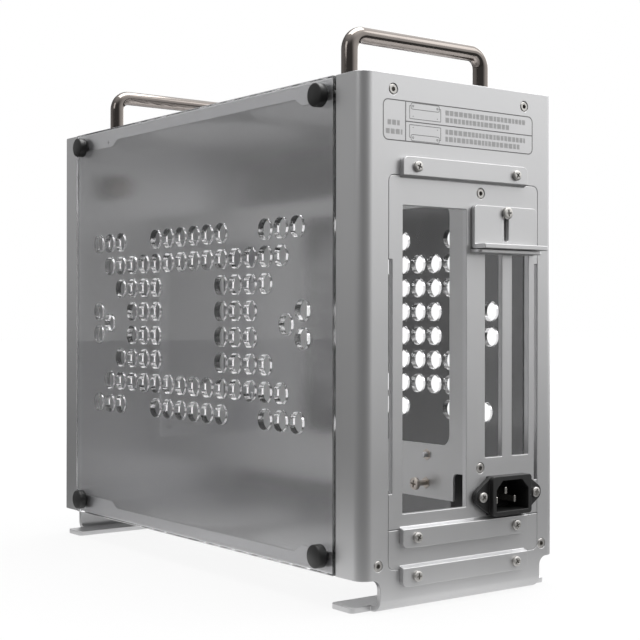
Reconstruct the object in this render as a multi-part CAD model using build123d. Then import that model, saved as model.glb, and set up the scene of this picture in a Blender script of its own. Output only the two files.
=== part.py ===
from build123d import *
import os

# A small desktop computer case: two folded aluminium end shells joined by a top and
# a bottom plate, clear side panels on knobs, and a centre tray between them.
# Millimetres. +X is the side of the motherboard, +Y the rear, +Z up, and z is 0
# under the feet.

# Body
body_width = 140.0
body_height = 258.0
body_length = 335.0
foot_height = 17.0

# End shells
shell_wall = 3.0
shell_bend = 7.0
shell_flange = 21.5
tongue_inset = 12.5
tongue_fillet = 5.0
foot_bend = 6.5
foot_depth = 26.0
ear_setback = 8.0
ear_corner = 3.0

# Top and bottom plates
plate_wall = 2.0
end_flange_height = 14.0
end_flange_inset = 8.0
side_flange_wide = 12.0
side_flange_narrow = 8.0
side_flange_step_length = 7.0
wide_length_front = 71.0
wide_length_rear = 52.0
side_flange_setback = 9.0
side_fold_radius = 2.5
fan_size = 120.0
fan_hole_spacing = 105.0
fan_hole_radius = 2.2
vent_diameter = 110.0
vent_slot_width = 6.5
vent_slot_pitch = 11.5
vent_slots_each_side = 4
fit_gap = 0.3

# Side panels
panel_wall = 4.0
panel_edge_gap = 0.5
panel_corner = 1.5
hole_diameter = 12.0
hole_pitch = 15.0
hole_columns = 16
end_pair_shift = 5.0
hole_pattern_rise = 0.5

# Panel knobs
knob_diameter = 12.5
knob_height = 5.0
knob_chamfer = 0.6
knob_shoulder_diameter = 5.6
knob_stud_diameter = 4.0
knob_stud_length = 4.0
knob_from_end = 32.5
knob_from_edge = 9.3
knob_hole_clearance = 0.2

# Rear window: the input and output plate with the adapter plate below it
window_left = -55.4
window_right = 52.4
window_gap = 0.1
io_plate_bottom = 24.8
io_plate_top = 206.3
adapter_bottom = 4.4
adapter_seam = 0.4
relief_depth = 2.4
relief_bottom = 43.2
relief_top = 163.0
tab_width = 90.0
tab_height = 9.8
tab_corner = 3.5
joggle_rise = 1.0
tab_screw_spacing = 71.2
tab_screw_from_root = 4.7
adapter_tab_rise = 0.5
io_window_x = -1.5
io_window_width = 44.45
io_window_height = 158.75
io_window_bottom = 32.3
slot_pitch = 20.32
slot_width = 12.7
slot_edge_x = -15.4
slot_bottom = 57.7
slot_top = 167.7
slot_count = 2
ledge_wall = 2.0
ledge_depth = 7.0
ledge_gap = 0.2

# Slot retainer
retainer_wall = 2.5
retainer_width = 47.4
retainer_right_x = -4.8
retainer_top = 193.6
retainer_shelf_depth = 11.0
retainer_gap = 0.3
retainer_corner = 3.0
retainer_bend = 3.5
retainer_slot_width = 3.4
retainer_slot_length = 13.7
retainer_screw_z = 190.0
retainer_screw_diameter = 6.6

# Power inlet
inlet_x = -30.5
inlet_z = 37.0
inlet_flange_wall = 3.0
inlet_flange_span = 50.0
inlet_tip_radius = 4.6
inlet_screw_spacing = 40.0
inlet_collar_width = 29.4
inlet_collar_height = 21.4
inlet_collar_depth = 3.0
inlet_body_width = 27.4
inlet_body_height = 20.2
inlet_body_depth = 29.0
inlet_recess_width = 24.0
inlet_recess_height = 16.4
inlet_recess_depth = 16.0
inlet_key_chamfer = 4.8
inlet_collar_corner = 2.0
pin_width = 4.0
pin_thickness = 2.0
pin_setback = 5.0
pin_spacing = 14.0
pin_drop = 3.0
earth_pin_rise = 5.0
terminal_length = 8.0

# Centre tray
tray_face_x = -5.0
tray_wall = 1.5
tray_bottom = 33.3
tray_top = 206.0
tray_tab_width = 11.0
tray_screw_x = -12.0
tray_screw_low = 52.3
tray_screw_high = 200.1
tray_tab_half_height = 4.6
notch_depth = 14.0
notch_top = 48.5
notch_corner = 3.0
cutout_rear = 17.2
cutout_front = 150.0
cutout_bottom = 63.2
cutout_top = 195.0
cutout_corner = 6.0
cable_slot_from_rear = 232.0
cable_slot_width = 14.0
cable_slot_bottom = 70.0
cable_slot_top = 170.0

# Nuts pressed into the tray, four of them on the standard 170 mm board pattern
board_hole_spacing_y = 154.94
board_hole_spacing_z = 157.48
board_nut_from_rear = 36.2
board_nut_low = 41.5
nut_across_flats = 5.7
nut_flange = 0.4
nut_barrel_radius = 2.3
nut_bore_radius = 1.5
nut_fit = 0.05
spare_screw_head_diameter = 7.0
spare_screw_head_height = 2.2
spare_screw_length = 8.5
spare_screw_standout = 7.2

# Riser bracket on the other face of the tray
riser_nut_from_rear = 35.4
riser_nut_z = 57.2
riser_hole_spacing = 95.0
riser_screw_recess = 0.8
riser_wall = 1.5
riser_shelf_depth = 24.0
riser_shelf_z = 44.0
riser_top = 62.0
riser_margin = 4.5

# Power supply bracket
supply_from_rear = 214.0
supply_wall = 1.5
supply_width = 63.5
supply_height = 125.0
supply_rim = 6.0
supply_corner_web = 14.0
supply_bolt_inset = 6.0
supply_bolt_hole_radius = 1.9
supply_bottom = 58.0
supply_flange = 15.0
supply_screw_inset = 24.0

# Handles
handle_spacing = 96.0
handle_diameter = 9.2
handle_height = 31.5
handle_bend = 8.6
handle_from_end = 38.0

# Power button in the front shell
button_x = 30.0
button_from_top = 32.0
button_bezel_diameter = 18.0
button_bezel_height = 2.0
button_body_diameter = 15.6
button_body_length = 20.0
button_cap_diameter = 11.0
button_cap_height = 5.0
button_travel = 1.5
button_gap = 0.3
button_nut_across_flats = 19.0
button_nut_height = 2.0

# Fasteners
flush_head_diameter = 5.8
flush_head_height = 1.7
flush_socket_across_flats = 2.0
flush_socket_depth = 1.2
flush_shank_diameter = 3.0
pan_head_diameter = 5.6
pan_head_height = 1.8
pan_shank_diameter = 3.0
top_screw_inset_right = 20.6
top_screw_inset_left = 25.1
top_screw_from_top = 8.0
bottom_screw_gap_left = 3.6
bottom_screw_gap_right = 6.6
bottom_screw_z = 7.2
screw_clearance = 0.15

# Places worked out from the sizes above
half_width = body_width / 2
base_z = foot_height
top_z = base_z + body_height
middle_z = base_z + body_height / 2
rear_overhang = retainer_shelf_depth
front_overhang = button_bezel_height
rear_y = (body_length + front_overhang - rear_overhang) / 2
front_y = rear_y - body_length
middle_y = rear_y - body_length / 2
inner_rear_y = rear_y - shell_wall
inner_front_y = front_y + shell_wall
inner_half_width = half_width - shell_wall
tongue_width = body_width - 2 * tongue_inset
end_flange_half = half_width - end_flange_inset
button_z = top_z - button_from_top
top_screw_z = top_z - top_screw_from_top
shelf_z = base_z + slot_top + ledge_gap + ledge_wall + retainer_gap
retainer_x = retainer_right_x - retainer_width / 2


def block(x0, x1, y0, y1, z0, z1):
    """A box between two corners."""
    place = Pos((x0 + x1) / 2, (y0 + y1) / 2, (z0 + z1) / 2)
    return place * Box(x1 - x0, y1 - y0, z1 - z0)


def facing_rear(y):
    """A sketch plane whose x and y are X and Z, and whose solids grow towards the front."""
    return Plane(origin=(0, y, 0), x_dir=(1, 0, 0), z_dir=(0, -1, 0))


def facing_side(x):
    """A sketch plane whose x and y are Y and Z, and whose solids grow towards +X."""
    return Plane(origin=(x, 0, 0), x_dir=(0, 1, 0), z_dir=(1, 0, 0))


def folded_strip(outline, x0, x1):
    """A profile of Y and Z drawn out along X."""
    return extrude(facing_side(x0) * outline, x1 - x0, dir=(1, 0, 0))


def rod_y(radius, x, z, y0, y1):
    """A round bar along Y."""
    return extrude(facing_rear(y1) * Pos(x, z) * Circle(radius), y1 - y0)


def rod_x(radius, y, z, x0, x1):
    """A round bar along X."""
    return extrude(facing_side(x0) * Pos(y, z) * Circle(radius), x1 - x0)


def rod_z(radius, x, y, z0, z1):
    """A round bar along Z."""
    return extrude(Plane.XY.offset(z0) * Pos(x, y) * Circle(radius), z1 - z0)


def hexagon(across_flats):
    """A hexagon with two flats across its local x."""
    return RegularPolygon(across_flats / 2, 6, major_radius=False)


def only_corners(sketch, radius, axis, end):
    """Round the corners of a sketch that lie at one end of an axis."""
    return fillet(sketch.vertices().group_by(axis)[end], radius)


def flush_screw(x, z, y_face, y_end):
    """A flush hex socket screw along Y, its head in the face at y_face."""
    inward = 1 if y_end > y_face else -1
    y_seat = y_face + inward * flush_head_height
    head = rod_y(flush_head_diameter / 2, x, z, min(y_face, y_seat), max(y_face, y_seat))
    shank = rod_y(flush_shank_diameter / 2, x, z, min(y_seat, y_end), max(y_seat, y_end))
    y_floor = y_face + inward * flush_socket_depth
    y_far = max(y_face, y_floor)
    socket = Pos(x, z) * hexagon(flush_socket_across_flats)
    return head + shank - extrude(facing_rear(y_far) * socket, flush_socket_depth)


def flush_seat(x, z, y_face, y_end):
    """The hole that a flush screw sits in."""
    inward = 1 if y_end > y_face else -1
    y_seat = y_face + inward * flush_head_height
    head_radius = flush_head_diameter / 2
    shank_radius = flush_shank_diameter / 2 + screw_clearance
    head = rod_y(head_radius, x, z, min(y_face, y_seat), max(y_face, y_seat))
    shank = rod_y(shank_radius, x, z, min(y_seat, y_end), max(y_seat, y_end))
    return head + shank


def pan_screw_y(x, z, y_seat, y_end):
    """A pan head screw along Y, its head standing on the rear side of y_seat."""
    head = rod_y(pan_head_diameter / 2, x, z, y_seat, y_seat + pan_head_height)
    return head + rod_y(pan_shank_diameter / 2, x, z, y_end, y_seat)


def shank_hole_y(x, z, y0, y1):
    """A clearance hole along Y for a pan head screw."""
    return rod_y(pan_shank_diameter / 2 + screw_clearance, x, z, y0, y1)


top_screw_xs = [top_screw_inset_left - half_width, half_width - top_screw_inset_right]
bottom_screw_xs = [window_left - bottom_screw_gap_left, window_right + bottom_screw_gap_right]
tray_screw_zs = [base_z + tray_screw_low, base_z + tray_screw_high]
shell_screw_places = [(x, top_screw_z) for x in top_screw_xs]
shell_screw_places += [(x, base_z + bottom_screw_z) for x in bottom_screw_xs]


def end_shell():
    """One folded end shell, its outer face at y = 0 and its flanges towards -Y."""
    outer = Pos(0, -shell_flange / 2) * Rectangle(body_width, shell_flange)
    outer = only_corners(outer, shell_bend, Axis.Y, -1)
    inner_length = shell_flange - shell_wall
    inner = Pos(0, -shell_wall - inner_length / 2) * Rectangle(2 * inner_half_width, inner_length)
    inner = only_corners(inner, shell_bend - shell_wall, Axis.Y, -1)
    wall = extrude(Plane.XY.offset(base_z) * (outer - inner), body_height)

    tongue_top = base_z + end_flange_height
    leg_outer = Pos(-foot_depth / 2, tongue_top / 2) * Rectangle(foot_depth, tongue_top)
    corner = leg_outer.vertices().group_by(Axis.Y)[0].sort_by(Axis.X)[-1]
    leg_outer = fillet(corner, foot_bend)
    leg_inner = Pos(-foot_depth / 2 - shell_wall / 2, (tongue_top + shell_wall) / 2)
    leg_inner *= Rectangle(foot_depth - shell_wall, tongue_top - shell_wall)
    corner = leg_inner.vertices().group_by(Axis.Y)[0].sort_by(Axis.X)[-1]
    leg_inner = fillet(corner, foot_bend - shell_wall)
    tongue = folded_strip(leg_outer - leg_inner, -tongue_width / 2, tongue_width / 2)

    ear_depth = foot_depth - ear_setback
    ears = Pos(0, -foot_depth + ear_depth / 2) * RectangleRounded(body_width, ear_depth, ear_corner)
    shell = wall + tongue + extrude(ears, shell_wall)
    roots = []
    for edge in shell.edges().filter_by(Axis.Y):
        centre = edge.center()
        at_side = abs(abs(centre.X) - tongue_width / 2) < 0.01
        if at_side and abs(centre.Z - base_z) < 0.01:
            roots.append(edge)
    return fillet(roots, tongue_fillet)


def rear_window_cut():
    """The opening in the rear shell for the window plates."""
    low = base_z + adapter_bottom - window_gap
    high = base_z + io_plate_top + window_gap
    left = window_left - window_gap
    right = window_right + window_gap
    opening = block(left, right, inner_rear_y - 1, rear_y + 1, low, high)
    return fillet(opening.edges().filter_by(Axis.Y), tab_corner + window_gap)


def rear_shell():
    shell = Pos(0, rear_y, 0) * end_shell()
    shell -= rear_window_cut()
    for x, z in shell_screw_places:
        shell -= flush_seat(x, z, rear_y, inner_rear_y)
    for x in (-tab_screw_spacing / 2, tab_screw_spacing / 2):
        for z in (upper_tab_z, lower_tab_z):
            shell -= shank_hole_y(x, z, inner_rear_y, rear_y)
    return shell


def front_shell():
    shell = Pos(0, front_y, 0) * mirror(end_shell(), about=Plane.XZ)
    for x, z in shell_screw_places:
        shell -= flush_seat(x, z, front_y, inner_front_y)
    for z in tray_screw_zs:
        shell -= flush_seat(tray_screw_x, z, front_y, inner_front_y)
    button_hole = button_body_diameter / 2 + knob_hole_clearance
    return shell - rod_y(button_hole, button_x, button_z, front_y, inner_front_y)


# Tabs of the window plates
io_tab_root_top = base_z + io_plate_top
io_tab_root_bottom = base_z + io_plate_bottom
adapter_tab_root = base_z + adapter_bottom + adapter_tab_rise
upper_tab_z = io_tab_root_top + tab_screw_from_root
middle_tab_z = io_tab_root_bottom - tab_screw_from_root
lower_tab_z = adapter_tab_root - tab_screw_from_root


def joggled_tab(root_z, upward):
    """A tab that steps out by the wall over its root and lies on the face beyond it."""
    way = 1 if upward else -1
    tip_z = root_z + way * tab_height
    slope_z = root_z - way * joggle_rise
    outline = Polygon(
        (rear_y - shell_wall, slope_z),
        (rear_y, slope_z),
        (rear_y + shell_wall, root_z),
        (rear_y + shell_wall, tip_z),
        (rear_y, tip_z),
        (rear_y, root_z),
        (rear_y - shell_wall, root_z),
        align=None,
    )
    tab = folded_strip(outline, -tab_width / 2, tab_width / 2)
    tip_edges = tab.edges().filter_by(Axis.Y).group_by(Axis.Z)[-1 if upward else 0]
    return fillet(tip_edges, tab_corner)


def io_plate():
    low = base_z + io_plate_bottom
    high = base_z + io_plate_top
    plate = block(window_left, window_right, inner_rear_y, rear_y, low, high)
    plate = fillet(plate.edges().filter_by(Axis.Y).group_by(Axis.Z)[-1], tab_corner)
    for side, edge in ((-1, window_left), (1, window_right)):
        inner = edge - side * relief_depth
        plate -= block(
            min(edge, inner), max(edge, inner), inner_rear_y, rear_y,
            base_z + relief_bottom, base_z + relief_top,
        )
    plate += joggled_tab(io_tab_root_top, True) + joggled_tab(io_tab_root_bottom, False)
    ledge_low = base_z + slot_top + ledge_gap
    ledge_left = retainer_x - retainer_width / 2
    ledge = block(
        ledge_left, retainer_right_x, rear_y - shell_wall, rear_y + ledge_depth,
        ledge_low, ledge_low + ledge_wall,
    )
    tips = ledge.edges().filter_by(Axis.Z).group_by(Axis.Y)[-1]
    plate += fillet(tips, ledge_wall)

    plate -= block(
        io_window_x, io_window_x + io_window_width, inner_rear_y, rear_y,
        base_z + io_window_bottom, base_z + io_window_bottom + io_window_height,
    )
    for index in range(slot_count):
        right = slot_edge_x - index * slot_pitch
        plate -= block(
            right - slot_width, right, inner_rear_y, rear_y,
            base_z + slot_bottom, base_z + slot_top,
        )
    body_cut = Pos(inlet_x, base_z + inlet_z)
    body_cut *= Rectangle(inlet_body_width + 2 * fit_gap, inlet_body_height + 2 * fit_gap)
    plate -= extrude(facing_rear(rear_y) * body_cut, shell_wall)
    for x in inlet_screw_xs:
        plate -= shank_hole_y(x, base_z + inlet_z, inner_rear_y, rear_y)
    for z in tray_screw_zs:
        plate -= flush_seat(tray_screw_x, z, rear_y, inner_rear_y)
    for x in (-tab_screw_spacing / 2, tab_screw_spacing / 2):
        for z in (upper_tab_z, middle_tab_z):
            plate -= shank_hole_y(x, z, rear_y, rear_y + shell_wall)
    retainer_z = base_z + retainer_screw_z
    return plate - shank_hole_y(retainer_x, retainer_z, inner_rear_y, rear_y)


def adapter_plate():
    low = base_z + adapter_bottom
    high = base_z + io_plate_bottom - adapter_seam
    plate = block(window_left, window_right, inner_rear_y, rear_y, low, high)
    plate = fillet(plate.edges().filter_by(Axis.Y).group_by(Axis.Z)[0], tab_corner)
    plate += joggled_tab(adapter_tab_root, False)
    for x in (-tab_screw_spacing / 2, tab_screw_spacing / 2):
        plate -= shank_hole_y(x, middle_tab_z, inner_rear_y, rear_y)
        plate -= shank_hole_y(x, lower_tab_z, rear_y, rear_y + shell_wall)
    return plate


def tab_screws():
    """The six screws of the three tabs."""
    y_seat = rear_y + shell_wall
    y_end = inner_rear_y
    screws = []
    for z in (upper_tab_z, middle_tab_z, lower_tab_z):
        for x in (-tab_screw_spacing / 2, tab_screw_spacing / 2):
            screws.append(pan_screw_y(x, z, y_seat, y_end))
    return Compound(screws)


def pcie_retainer():
    """A folded plate that slides up on its screw, with a shelf at its foot."""
    y_back = rear_y + retainer_gap
    y_tip = rear_y + retainer_shelf_depth
    top = base_z + retainer_top
    outline = Polygon(
        (y_back, shelf_z),
        (y_tip, shelf_z),
        (y_tip, shelf_z + retainer_wall),
        (y_back + retainer_wall, shelf_z + retainer_wall),
        (y_back + retainer_wall, top),
        (y_back, top),
        align=None,
    )
    folded = folded_strip(outline, retainer_x - retainer_width / 2, retainer_right_x)
    outer_fold = folded.edges().filter_by(Axis.X).sort_by_distance((retainer_x, y_back, shelf_z))[0]
    folded = fillet(outer_fold, retainer_wall - 0.5)
    top_corners = folded.edges().filter_by(Axis.Y).group_by(Axis.Z)[-1]
    folded = fillet(top_corners, retainer_corner)
    screw_z = base_z + retainer_screw_z
    slot = Pos(retainer_x, screw_z - retainer_slot_length / 2)
    slot *= Rot(0, 0, 90) * SlotCenterToCenter(retainer_slot_length, retainer_slot_width)
    return folded - extrude(facing_rear(y_back + retainer_wall) * slot, retainer_wall)


def retainer_screw():
    y_seat = rear_y + retainer_gap + retainer_wall + retainer_gap
    x = retainer_x
    z = base_z + retainer_screw_z
    head = rod_y(retainer_screw_diameter / 2, x, z, y_seat, y_seat + pan_head_height)
    return head + rod_y(pan_shank_diameter / 2 - screw_clearance, x, z, inner_rear_y, y_seat)


inlet_screw_xs = [inlet_x + side * inlet_screw_spacing / 2 for side in (-1, 1)]


def power_inlet():
    """The inlet: a pointed flange, a collar round the recess and a body behind the plate."""
    face = facing_rear(rear_y + inlet_flange_wall)
    centre = Pos(inlet_x, base_z + inlet_z)
    tip_x = inlet_flange_span / 2 - inlet_tip_radius
    outline = make_hull(
        (Rectangle(inlet_collar_width - 4, inlet_collar_height)
         + Pos(-tip_x, 0) * Circle(inlet_tip_radius)
         + Pos(tip_x, 0) * Circle(inlet_tip_radius)).edges()
    )
    flange = extrude(face * centre * outline, inlet_flange_wall)
    collar_face = facing_rear(rear_y + inlet_flange_wall + inlet_collar_depth)
    collar_outline = RectangleRounded(inlet_collar_width, inlet_collar_height, inlet_collar_corner)
    collar = extrude(collar_face * centre * collar_outline, inlet_collar_depth)
    body_outline = Rectangle(inlet_body_width, inlet_body_height)
    body = extrude(facing_rear(rear_y) * centre * body_outline, inlet_body_depth)
    recess_outline = Rectangle(inlet_recess_width, inlet_recess_height)
    upper = recess_outline.vertices().group_by(Axis.Y)[-1]
    recess_outline = chamfer(upper, inlet_key_chamfer)
    recess = extrude(collar_face * centre * recess_outline, inlet_recess_depth)
    inlet = flange + collar + body - recess
    for x in inlet_screw_xs:
        inlet -= shank_hole_y(x, base_z + inlet_z, rear_y, rear_y + inlet_flange_wall)
    for x, z in inlet_pin_places:
        inlet -= pin_blade(x, z, rear_y - inlet_body_depth, rear_y, 0)
    return inlet


pin_z = base_z + inlet_z - pin_drop
inlet_pin_places = [
    (inlet_x - pin_spacing / 2, pin_z),
    (inlet_x + pin_spacing / 2, pin_z),
    (inlet_x, pin_z + earth_pin_rise),
]


def pin_blade(x, z, y0, y1, gap):
    """One upright blade along Y."""
    half_thickness = pin_thickness / 2 + gap
    half_width_of_pin = pin_width / 2 + gap
    return block(
        x - half_thickness, x + half_thickness, y0, y1,
        z - half_width_of_pin, z + half_width_of_pin,
    )


def inlet_pins():
    """The three contact blades, with their terminals behind the body."""
    y_tip = rear_y + inlet_flange_wall + inlet_collar_depth - pin_setback
    y_back = rear_y - inlet_body_depth - terminal_length
    return Compound([pin_blade(x, z, y_back, y_tip, 0) for x, z in inlet_pin_places])


def inlet_screws():
    y_seat = rear_y + inlet_flange_wall
    z = base_z + inlet_z
    return Compound([pan_screw_y(x, z, y_seat, inner_rear_y) for x in inlet_screw_xs])


def vent_slots(x, y, z0, z1):
    """The slots under one fan, cut shorter towards the sides of a circle."""
    slots = []
    for index in range(-vent_slots_each_side, vent_slots_each_side + 1):
        offset = index * vent_slot_pitch
        half = ((vent_diameter / 2) ** 2 - (abs(offset) + vent_slot_width / 2) ** 2) ** 0.5
        left = x + offset - vent_slot_width / 2
        slots.append(block(left, left + vent_slot_width, y - half, y + half, z0, z1))
    return slots


fan_ys = [middle_y - fan_size / 2, middle_y + fan_size / 2]


def fan_holes(x, y, z0, z1):
    half = fan_hole_spacing / 2
    places = [(x + i * half, y + j * half) for i in (-1, 1) for j in (-1, 1)]
    return [rod_z(fan_hole_radius, px, py, z0, z1) for px, py in places]


def cover_plate():
    """One folded cover in the place of the bottom plate, its flanges upwards."""
    length = body_length - 2 * shell_wall
    inner_bend = shell_bend - shell_wall
    width = 2 * inner_half_width
    y_front = front_y + side_flange_setback
    y_rear = rear_y - side_flange_setback
    sheet = Pos(0, middle_y) * RectangleRounded(width, length, inner_bend + fit_gap)
    sheet -= Pos(0, (y_front + y_rear) / 2) * Rectangle(width, y_rear - y_front)
    plate = extrude(Plane.XY.offset(base_z) * sheet, plate_wall)

    outer = Pos(0, base_z + side_flange_wide / 2) * Rectangle(width, side_flange_wide)
    outer = only_corners(outer, side_fold_radius, Axis.Y, 0)
    inner_height = side_flange_wide - plate_wall
    inner = Pos(0, base_z + plate_wall + inner_height / 2)
    inner *= Rectangle(width - 2 * plate_wall, inner_height)
    inner = only_corners(inner, side_fold_radius - plate_wall, Axis.Y, 0)
    plate += extrude(facing_rear(y_rear) * (outer - inner), y_rear - y_front)
    step = side_flange_step_length
    low_part = Polygon(
        (rear_y - wide_length_rear, base_z + side_flange_wide),
        (rear_y - wide_length_rear - step, base_z + side_flange_narrow),
        (front_y + wide_length_front + step, base_z + side_flange_narrow),
        (front_y + wide_length_front, base_z + side_flange_wide),
        align=None,
    )
    plate -= folded_strip(low_part, -half_width, half_width)

    front_fold = (inner_front_y, inner_front_y + plate_wall)
    rear_fold = (inner_rear_y - plate_wall, inner_rear_y)
    for y0, y1 in (front_fold, rear_fold):
        z1 = base_z + end_flange_height
        plate += block(-end_flange_half, end_flange_half, y0, y1, base_z, z1)
    for y in fan_ys:
        for cut in vent_slots(0, y, base_z, base_z + plate_wall):
            plate -= cut
        for cut in fan_holes(0, y, base_z, base_z + plate_wall):
            plate -= cut
    stud_radius = knob_stud_diameter / 2 + knob_hole_clearance
    for y in knob_ys:
        plate -= rod_x(stud_radius, y, base_z + knob_from_edge, -half_width, half_width)
    return plate


knob_ys = [front_y + knob_from_end, rear_y - knob_from_end]
knob_zs = [base_z + knob_from_edge, top_z - knob_from_edge]


def bottom_plate():
    plate = cover_plate()
    hole = flush_shank_diameter / 2 + screw_clearance
    for x in bottom_screw_xs:
        plate -= rod_y(hole, x, base_z + bottom_screw_z, front_y, rear_y)
    return plate


def top_plate():
    plate = mirror(cover_plate(), about=Plane.XY.offset(middle_z))
    hole = flush_shank_diameter / 2 + screw_clearance
    for x in top_screw_xs:
        plate -= rod_y(hole, x, top_screw_z, front_y, rear_y)
    for x in handle_leg_xs:
        for y in handle_ys:
            plate -= rod_z(pan_shank_diameter / 2 + screw_clearance, x, y, top_z - plate_wall, top_z)
    return plate


handle_leg_xs = [-handle_spacing / 2, handle_spacing / 2]
handle_ys = [front_y + handle_from_end, rear_y - handle_from_end]
handle_screw_depth = 8.0


def handle(y):
    """A round bar bent into a low arch across the top, with tapped ends."""
    radius = handle_diameter / 2
    bar_z = top_z + handle_height - radius
    corner_x = handle_spacing / 2
    path = FilletPolyline(
        (-corner_x, y, top_z),
        (-corner_x, y, bar_z),
        (corner_x, y, bar_z),
        (corner_x, y, top_z),
        radius=handle_bend,
    )
    start = Plane(origin=(-corner_x, y, top_z), z_dir=(0, 0, 1))
    bar = sweep(start * Circle(radius), path=path)
    for x in handle_leg_xs:
        bar -= rod_z(pan_shank_diameter / 2, x, y, top_z, top_z + handle_screw_depth)
    return bar


def handle_screws():
    """Four screws up through the top plate into the handle ends."""
    screws = []
    under = top_z - plate_wall
    for x in handle_leg_xs:
        for y in handle_ys:
            head = rod_z(pan_head_diameter / 2, x, y, under - pan_head_height, under)
            tip = top_z + handle_screw_depth
            screws.append(head + rod_z(pan_shank_diameter / 2, x, y, under, tip))
    return Compound(screws)


def panel_hole_places():
    """Hole centres as (along Y from the pattern's middle, Z from its middle)."""
    last = hole_columns - 1
    rows = {
        3.5: [0, 1, 2, 5, 6, 7, 8, 9, 10, 13, 14, 15],
        2.5: list(range(1, 15)),
        1.5: [2, 3, 4, 5, 10, 11, 12, 13],
        0.5: [3, 4, 5, 10, 11, 12],
    }
    places = []
    for row, columns in rows.items():
        for side in (-1, 1):
            for column in columns:
                places.append(((column - last / 2) * hole_pitch, side * row * hole_pitch))
    front_end = -last / 2 * hole_pitch
    rear_end = last / 2 * hole_pitch + end_pair_shift
    for side in (-1, 1):
        places.append((front_end, side * hole_pitch / 2))
        places.append((rear_end, side * hole_pitch / 2))
    places.append((front_end + hole_pitch, 0))
    places.append((rear_end - hole_pitch, 0))
    return places


def side_panel(x_inner):
    """A clear panel between the shell flanges, growing 4 mm towards +X."""
    length = body_length - 2 * shell_flange - 2 * panel_edge_gap
    outline = Pos(middle_y, middle_z) * RectangleRounded(length, body_height, panel_corner)
    pattern_z = middle_z + hole_pattern_rise
    holes = []
    for along, up in panel_hole_places():
        holes.append(Pos(middle_y + along, pattern_z + up) * Circle(hole_diameter / 2))
    for y in knob_ys:
        for z in knob_zs:
            radius = knob_shoulder_diameter / 2 + knob_hole_clearance
            holes.append(Pos(y, z) * Circle(radius))
    return extrude(facing_side(x_inner) * (outline - holes), panel_wall)


def panel_knobs(side):
    """Four knobs with a shoulder in the panel and a stud in the cover flange."""
    x_flange = side * inner_half_width
    x_panel = side * (inner_half_width + panel_wall)
    knobs = []
    for y in knob_ys:
        for z in knob_zs:
            x_head = x_panel + side * knob_height
            head = rod_x(knob_diameter / 2, y, z, min(x_panel, x_head), max(x_panel, x_head))
            rim = head.edges().filter_by(GeomType.CIRCLE).sort_by(Axis.X)[-1 if side > 0 else 0]
            head = chamfer(rim, knob_chamfer)
            x0, x1 = sorted((x_flange, x_panel))
            shoulder = rod_x(knob_shoulder_diameter / 2, y, z, x0, x1)
            x0, x1 = sorted((x_flange - side * knob_stud_length, x_flange))
            stud = rod_x(knob_stud_diameter / 2, y, z, x0, x1)
            knobs.append(head + shoulder + stud)
    return Compound(knobs)


def shell_screws(y_face, y_end):
    return Compound([flush_screw(x, z, y_face, y_end) for x, z in shell_screw_places])


def tray_screws():
    """Four flush screws, two through the window plate and two through the front shell."""
    depth = shell_wall + tray_wall
    screws = []
    for z in tray_screw_zs:
        screws.append(flush_screw(tray_screw_x, z, rear_y, rear_y - depth))
        screws.append(flush_screw(tray_screw_x, z, front_y, front_y + depth))
    return Compound(screws)


def centre_tray():
    """The folded divider: a sheet with a large cut-out and two tabs at each end."""
    x_back = tray_face_x - tray_wall
    low = base_z + tray_bottom
    high = base_z + tray_top
    tray = block(x_back, tray_face_x, inner_front_y, inner_rear_y, low, high)
    for z in tray_screw_zs:
        for y0 in (inner_front_y, inner_rear_y - tray_wall):
            tray += block(
                x_back - tray_tab_width, x_back, y0, y0 + tray_wall,
                z - tray_tab_half_height, z + tray_tab_half_height,
            )
    cut_length = cutout_front - cutout_rear
    cut_height = cutout_top - cutout_bottom
    centre = Pos(rear_y - (cutout_front + cutout_rear) / 2, base_z + (cutout_top + cutout_bottom) / 2)
    cut = centre * RectangleRounded(cut_length, cut_height, cutout_corner)
    tray -= extrude(facing_side(x_back) * cut, tray_wall)
    cable = block(
        x_back, tray_face_x,
        rear_y - cable_slot_from_rear - cable_slot_width, rear_y - cable_slot_from_rear,
        base_z + cable_slot_bottom, base_z + cable_slot_top,
    )
    notch = block(x_back - tray_wall, tray_face_x, rear_y - notch_depth, rear_y, low, base_z + notch_top)
    notch = fillet(notch.edges().filter_by(Axis.X).group_by(Axis.Z)[-1].sort_by(Axis.Y)[0], notch_corner)
    tray = tray - cable - notch
    hole = flush_shank_diameter / 2 + screw_clearance
    for z in tray_screw_zs:
        tray -= rod_y(hole, tray_screw_x, z, inner_front_y, inner_rear_y)
    for y, z in supply_hole_places:
        tray -= rod_x(hole, y, z, x_back, tray_face_x)
    for y, z in board_nut_places + riser_hole_places:
        tray -= rod_x(nut_barrel_radius + nut_fit, y, z, x_back, tray_face_x)
    return tray


board_nut_y = rear_y - board_nut_from_rear
board_nut_z = base_z + board_nut_low
board_nut_places = [
    (board_nut_y - i * board_hole_spacing_y, board_nut_z + j * board_hole_spacing_z)
    for i in (0, 1)
    for j in (0, 1)
]
riser_hole_places = [
    (rear_y - riser_nut_from_rear - i * riser_hole_spacing, base_z + riser_nut_z) for i in (0, 1)
]
supply_rear_y = rear_y - supply_from_rear
supply_hole_places = [
    (supply_rear_y + supply_flange / 2, base_z + supply_bottom + supply_screw_inset),
    (supply_rear_y + supply_flange / 2, base_z + supply_bottom + supply_height - supply_screw_inset),
]


def press_nut(y, z, bore_radius):
    """A thin hexagon flange on the tray's face with a barrel through the sheet."""
    bore = Circle(bore_radius)
    flange_section = Rot(0, 0, 90) * hexagon(nut_across_flats) - bore
    barrel_section = Circle(nut_barrel_radius) - bore
    flange = extrude(facing_side(tray_face_x) * Pos(y, z) * flange_section, nut_flange)
    barrel = extrude(facing_side(tray_face_x - tray_wall) * Pos(y, z) * barrel_section, tray_wall)
    return flange + barrel


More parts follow.
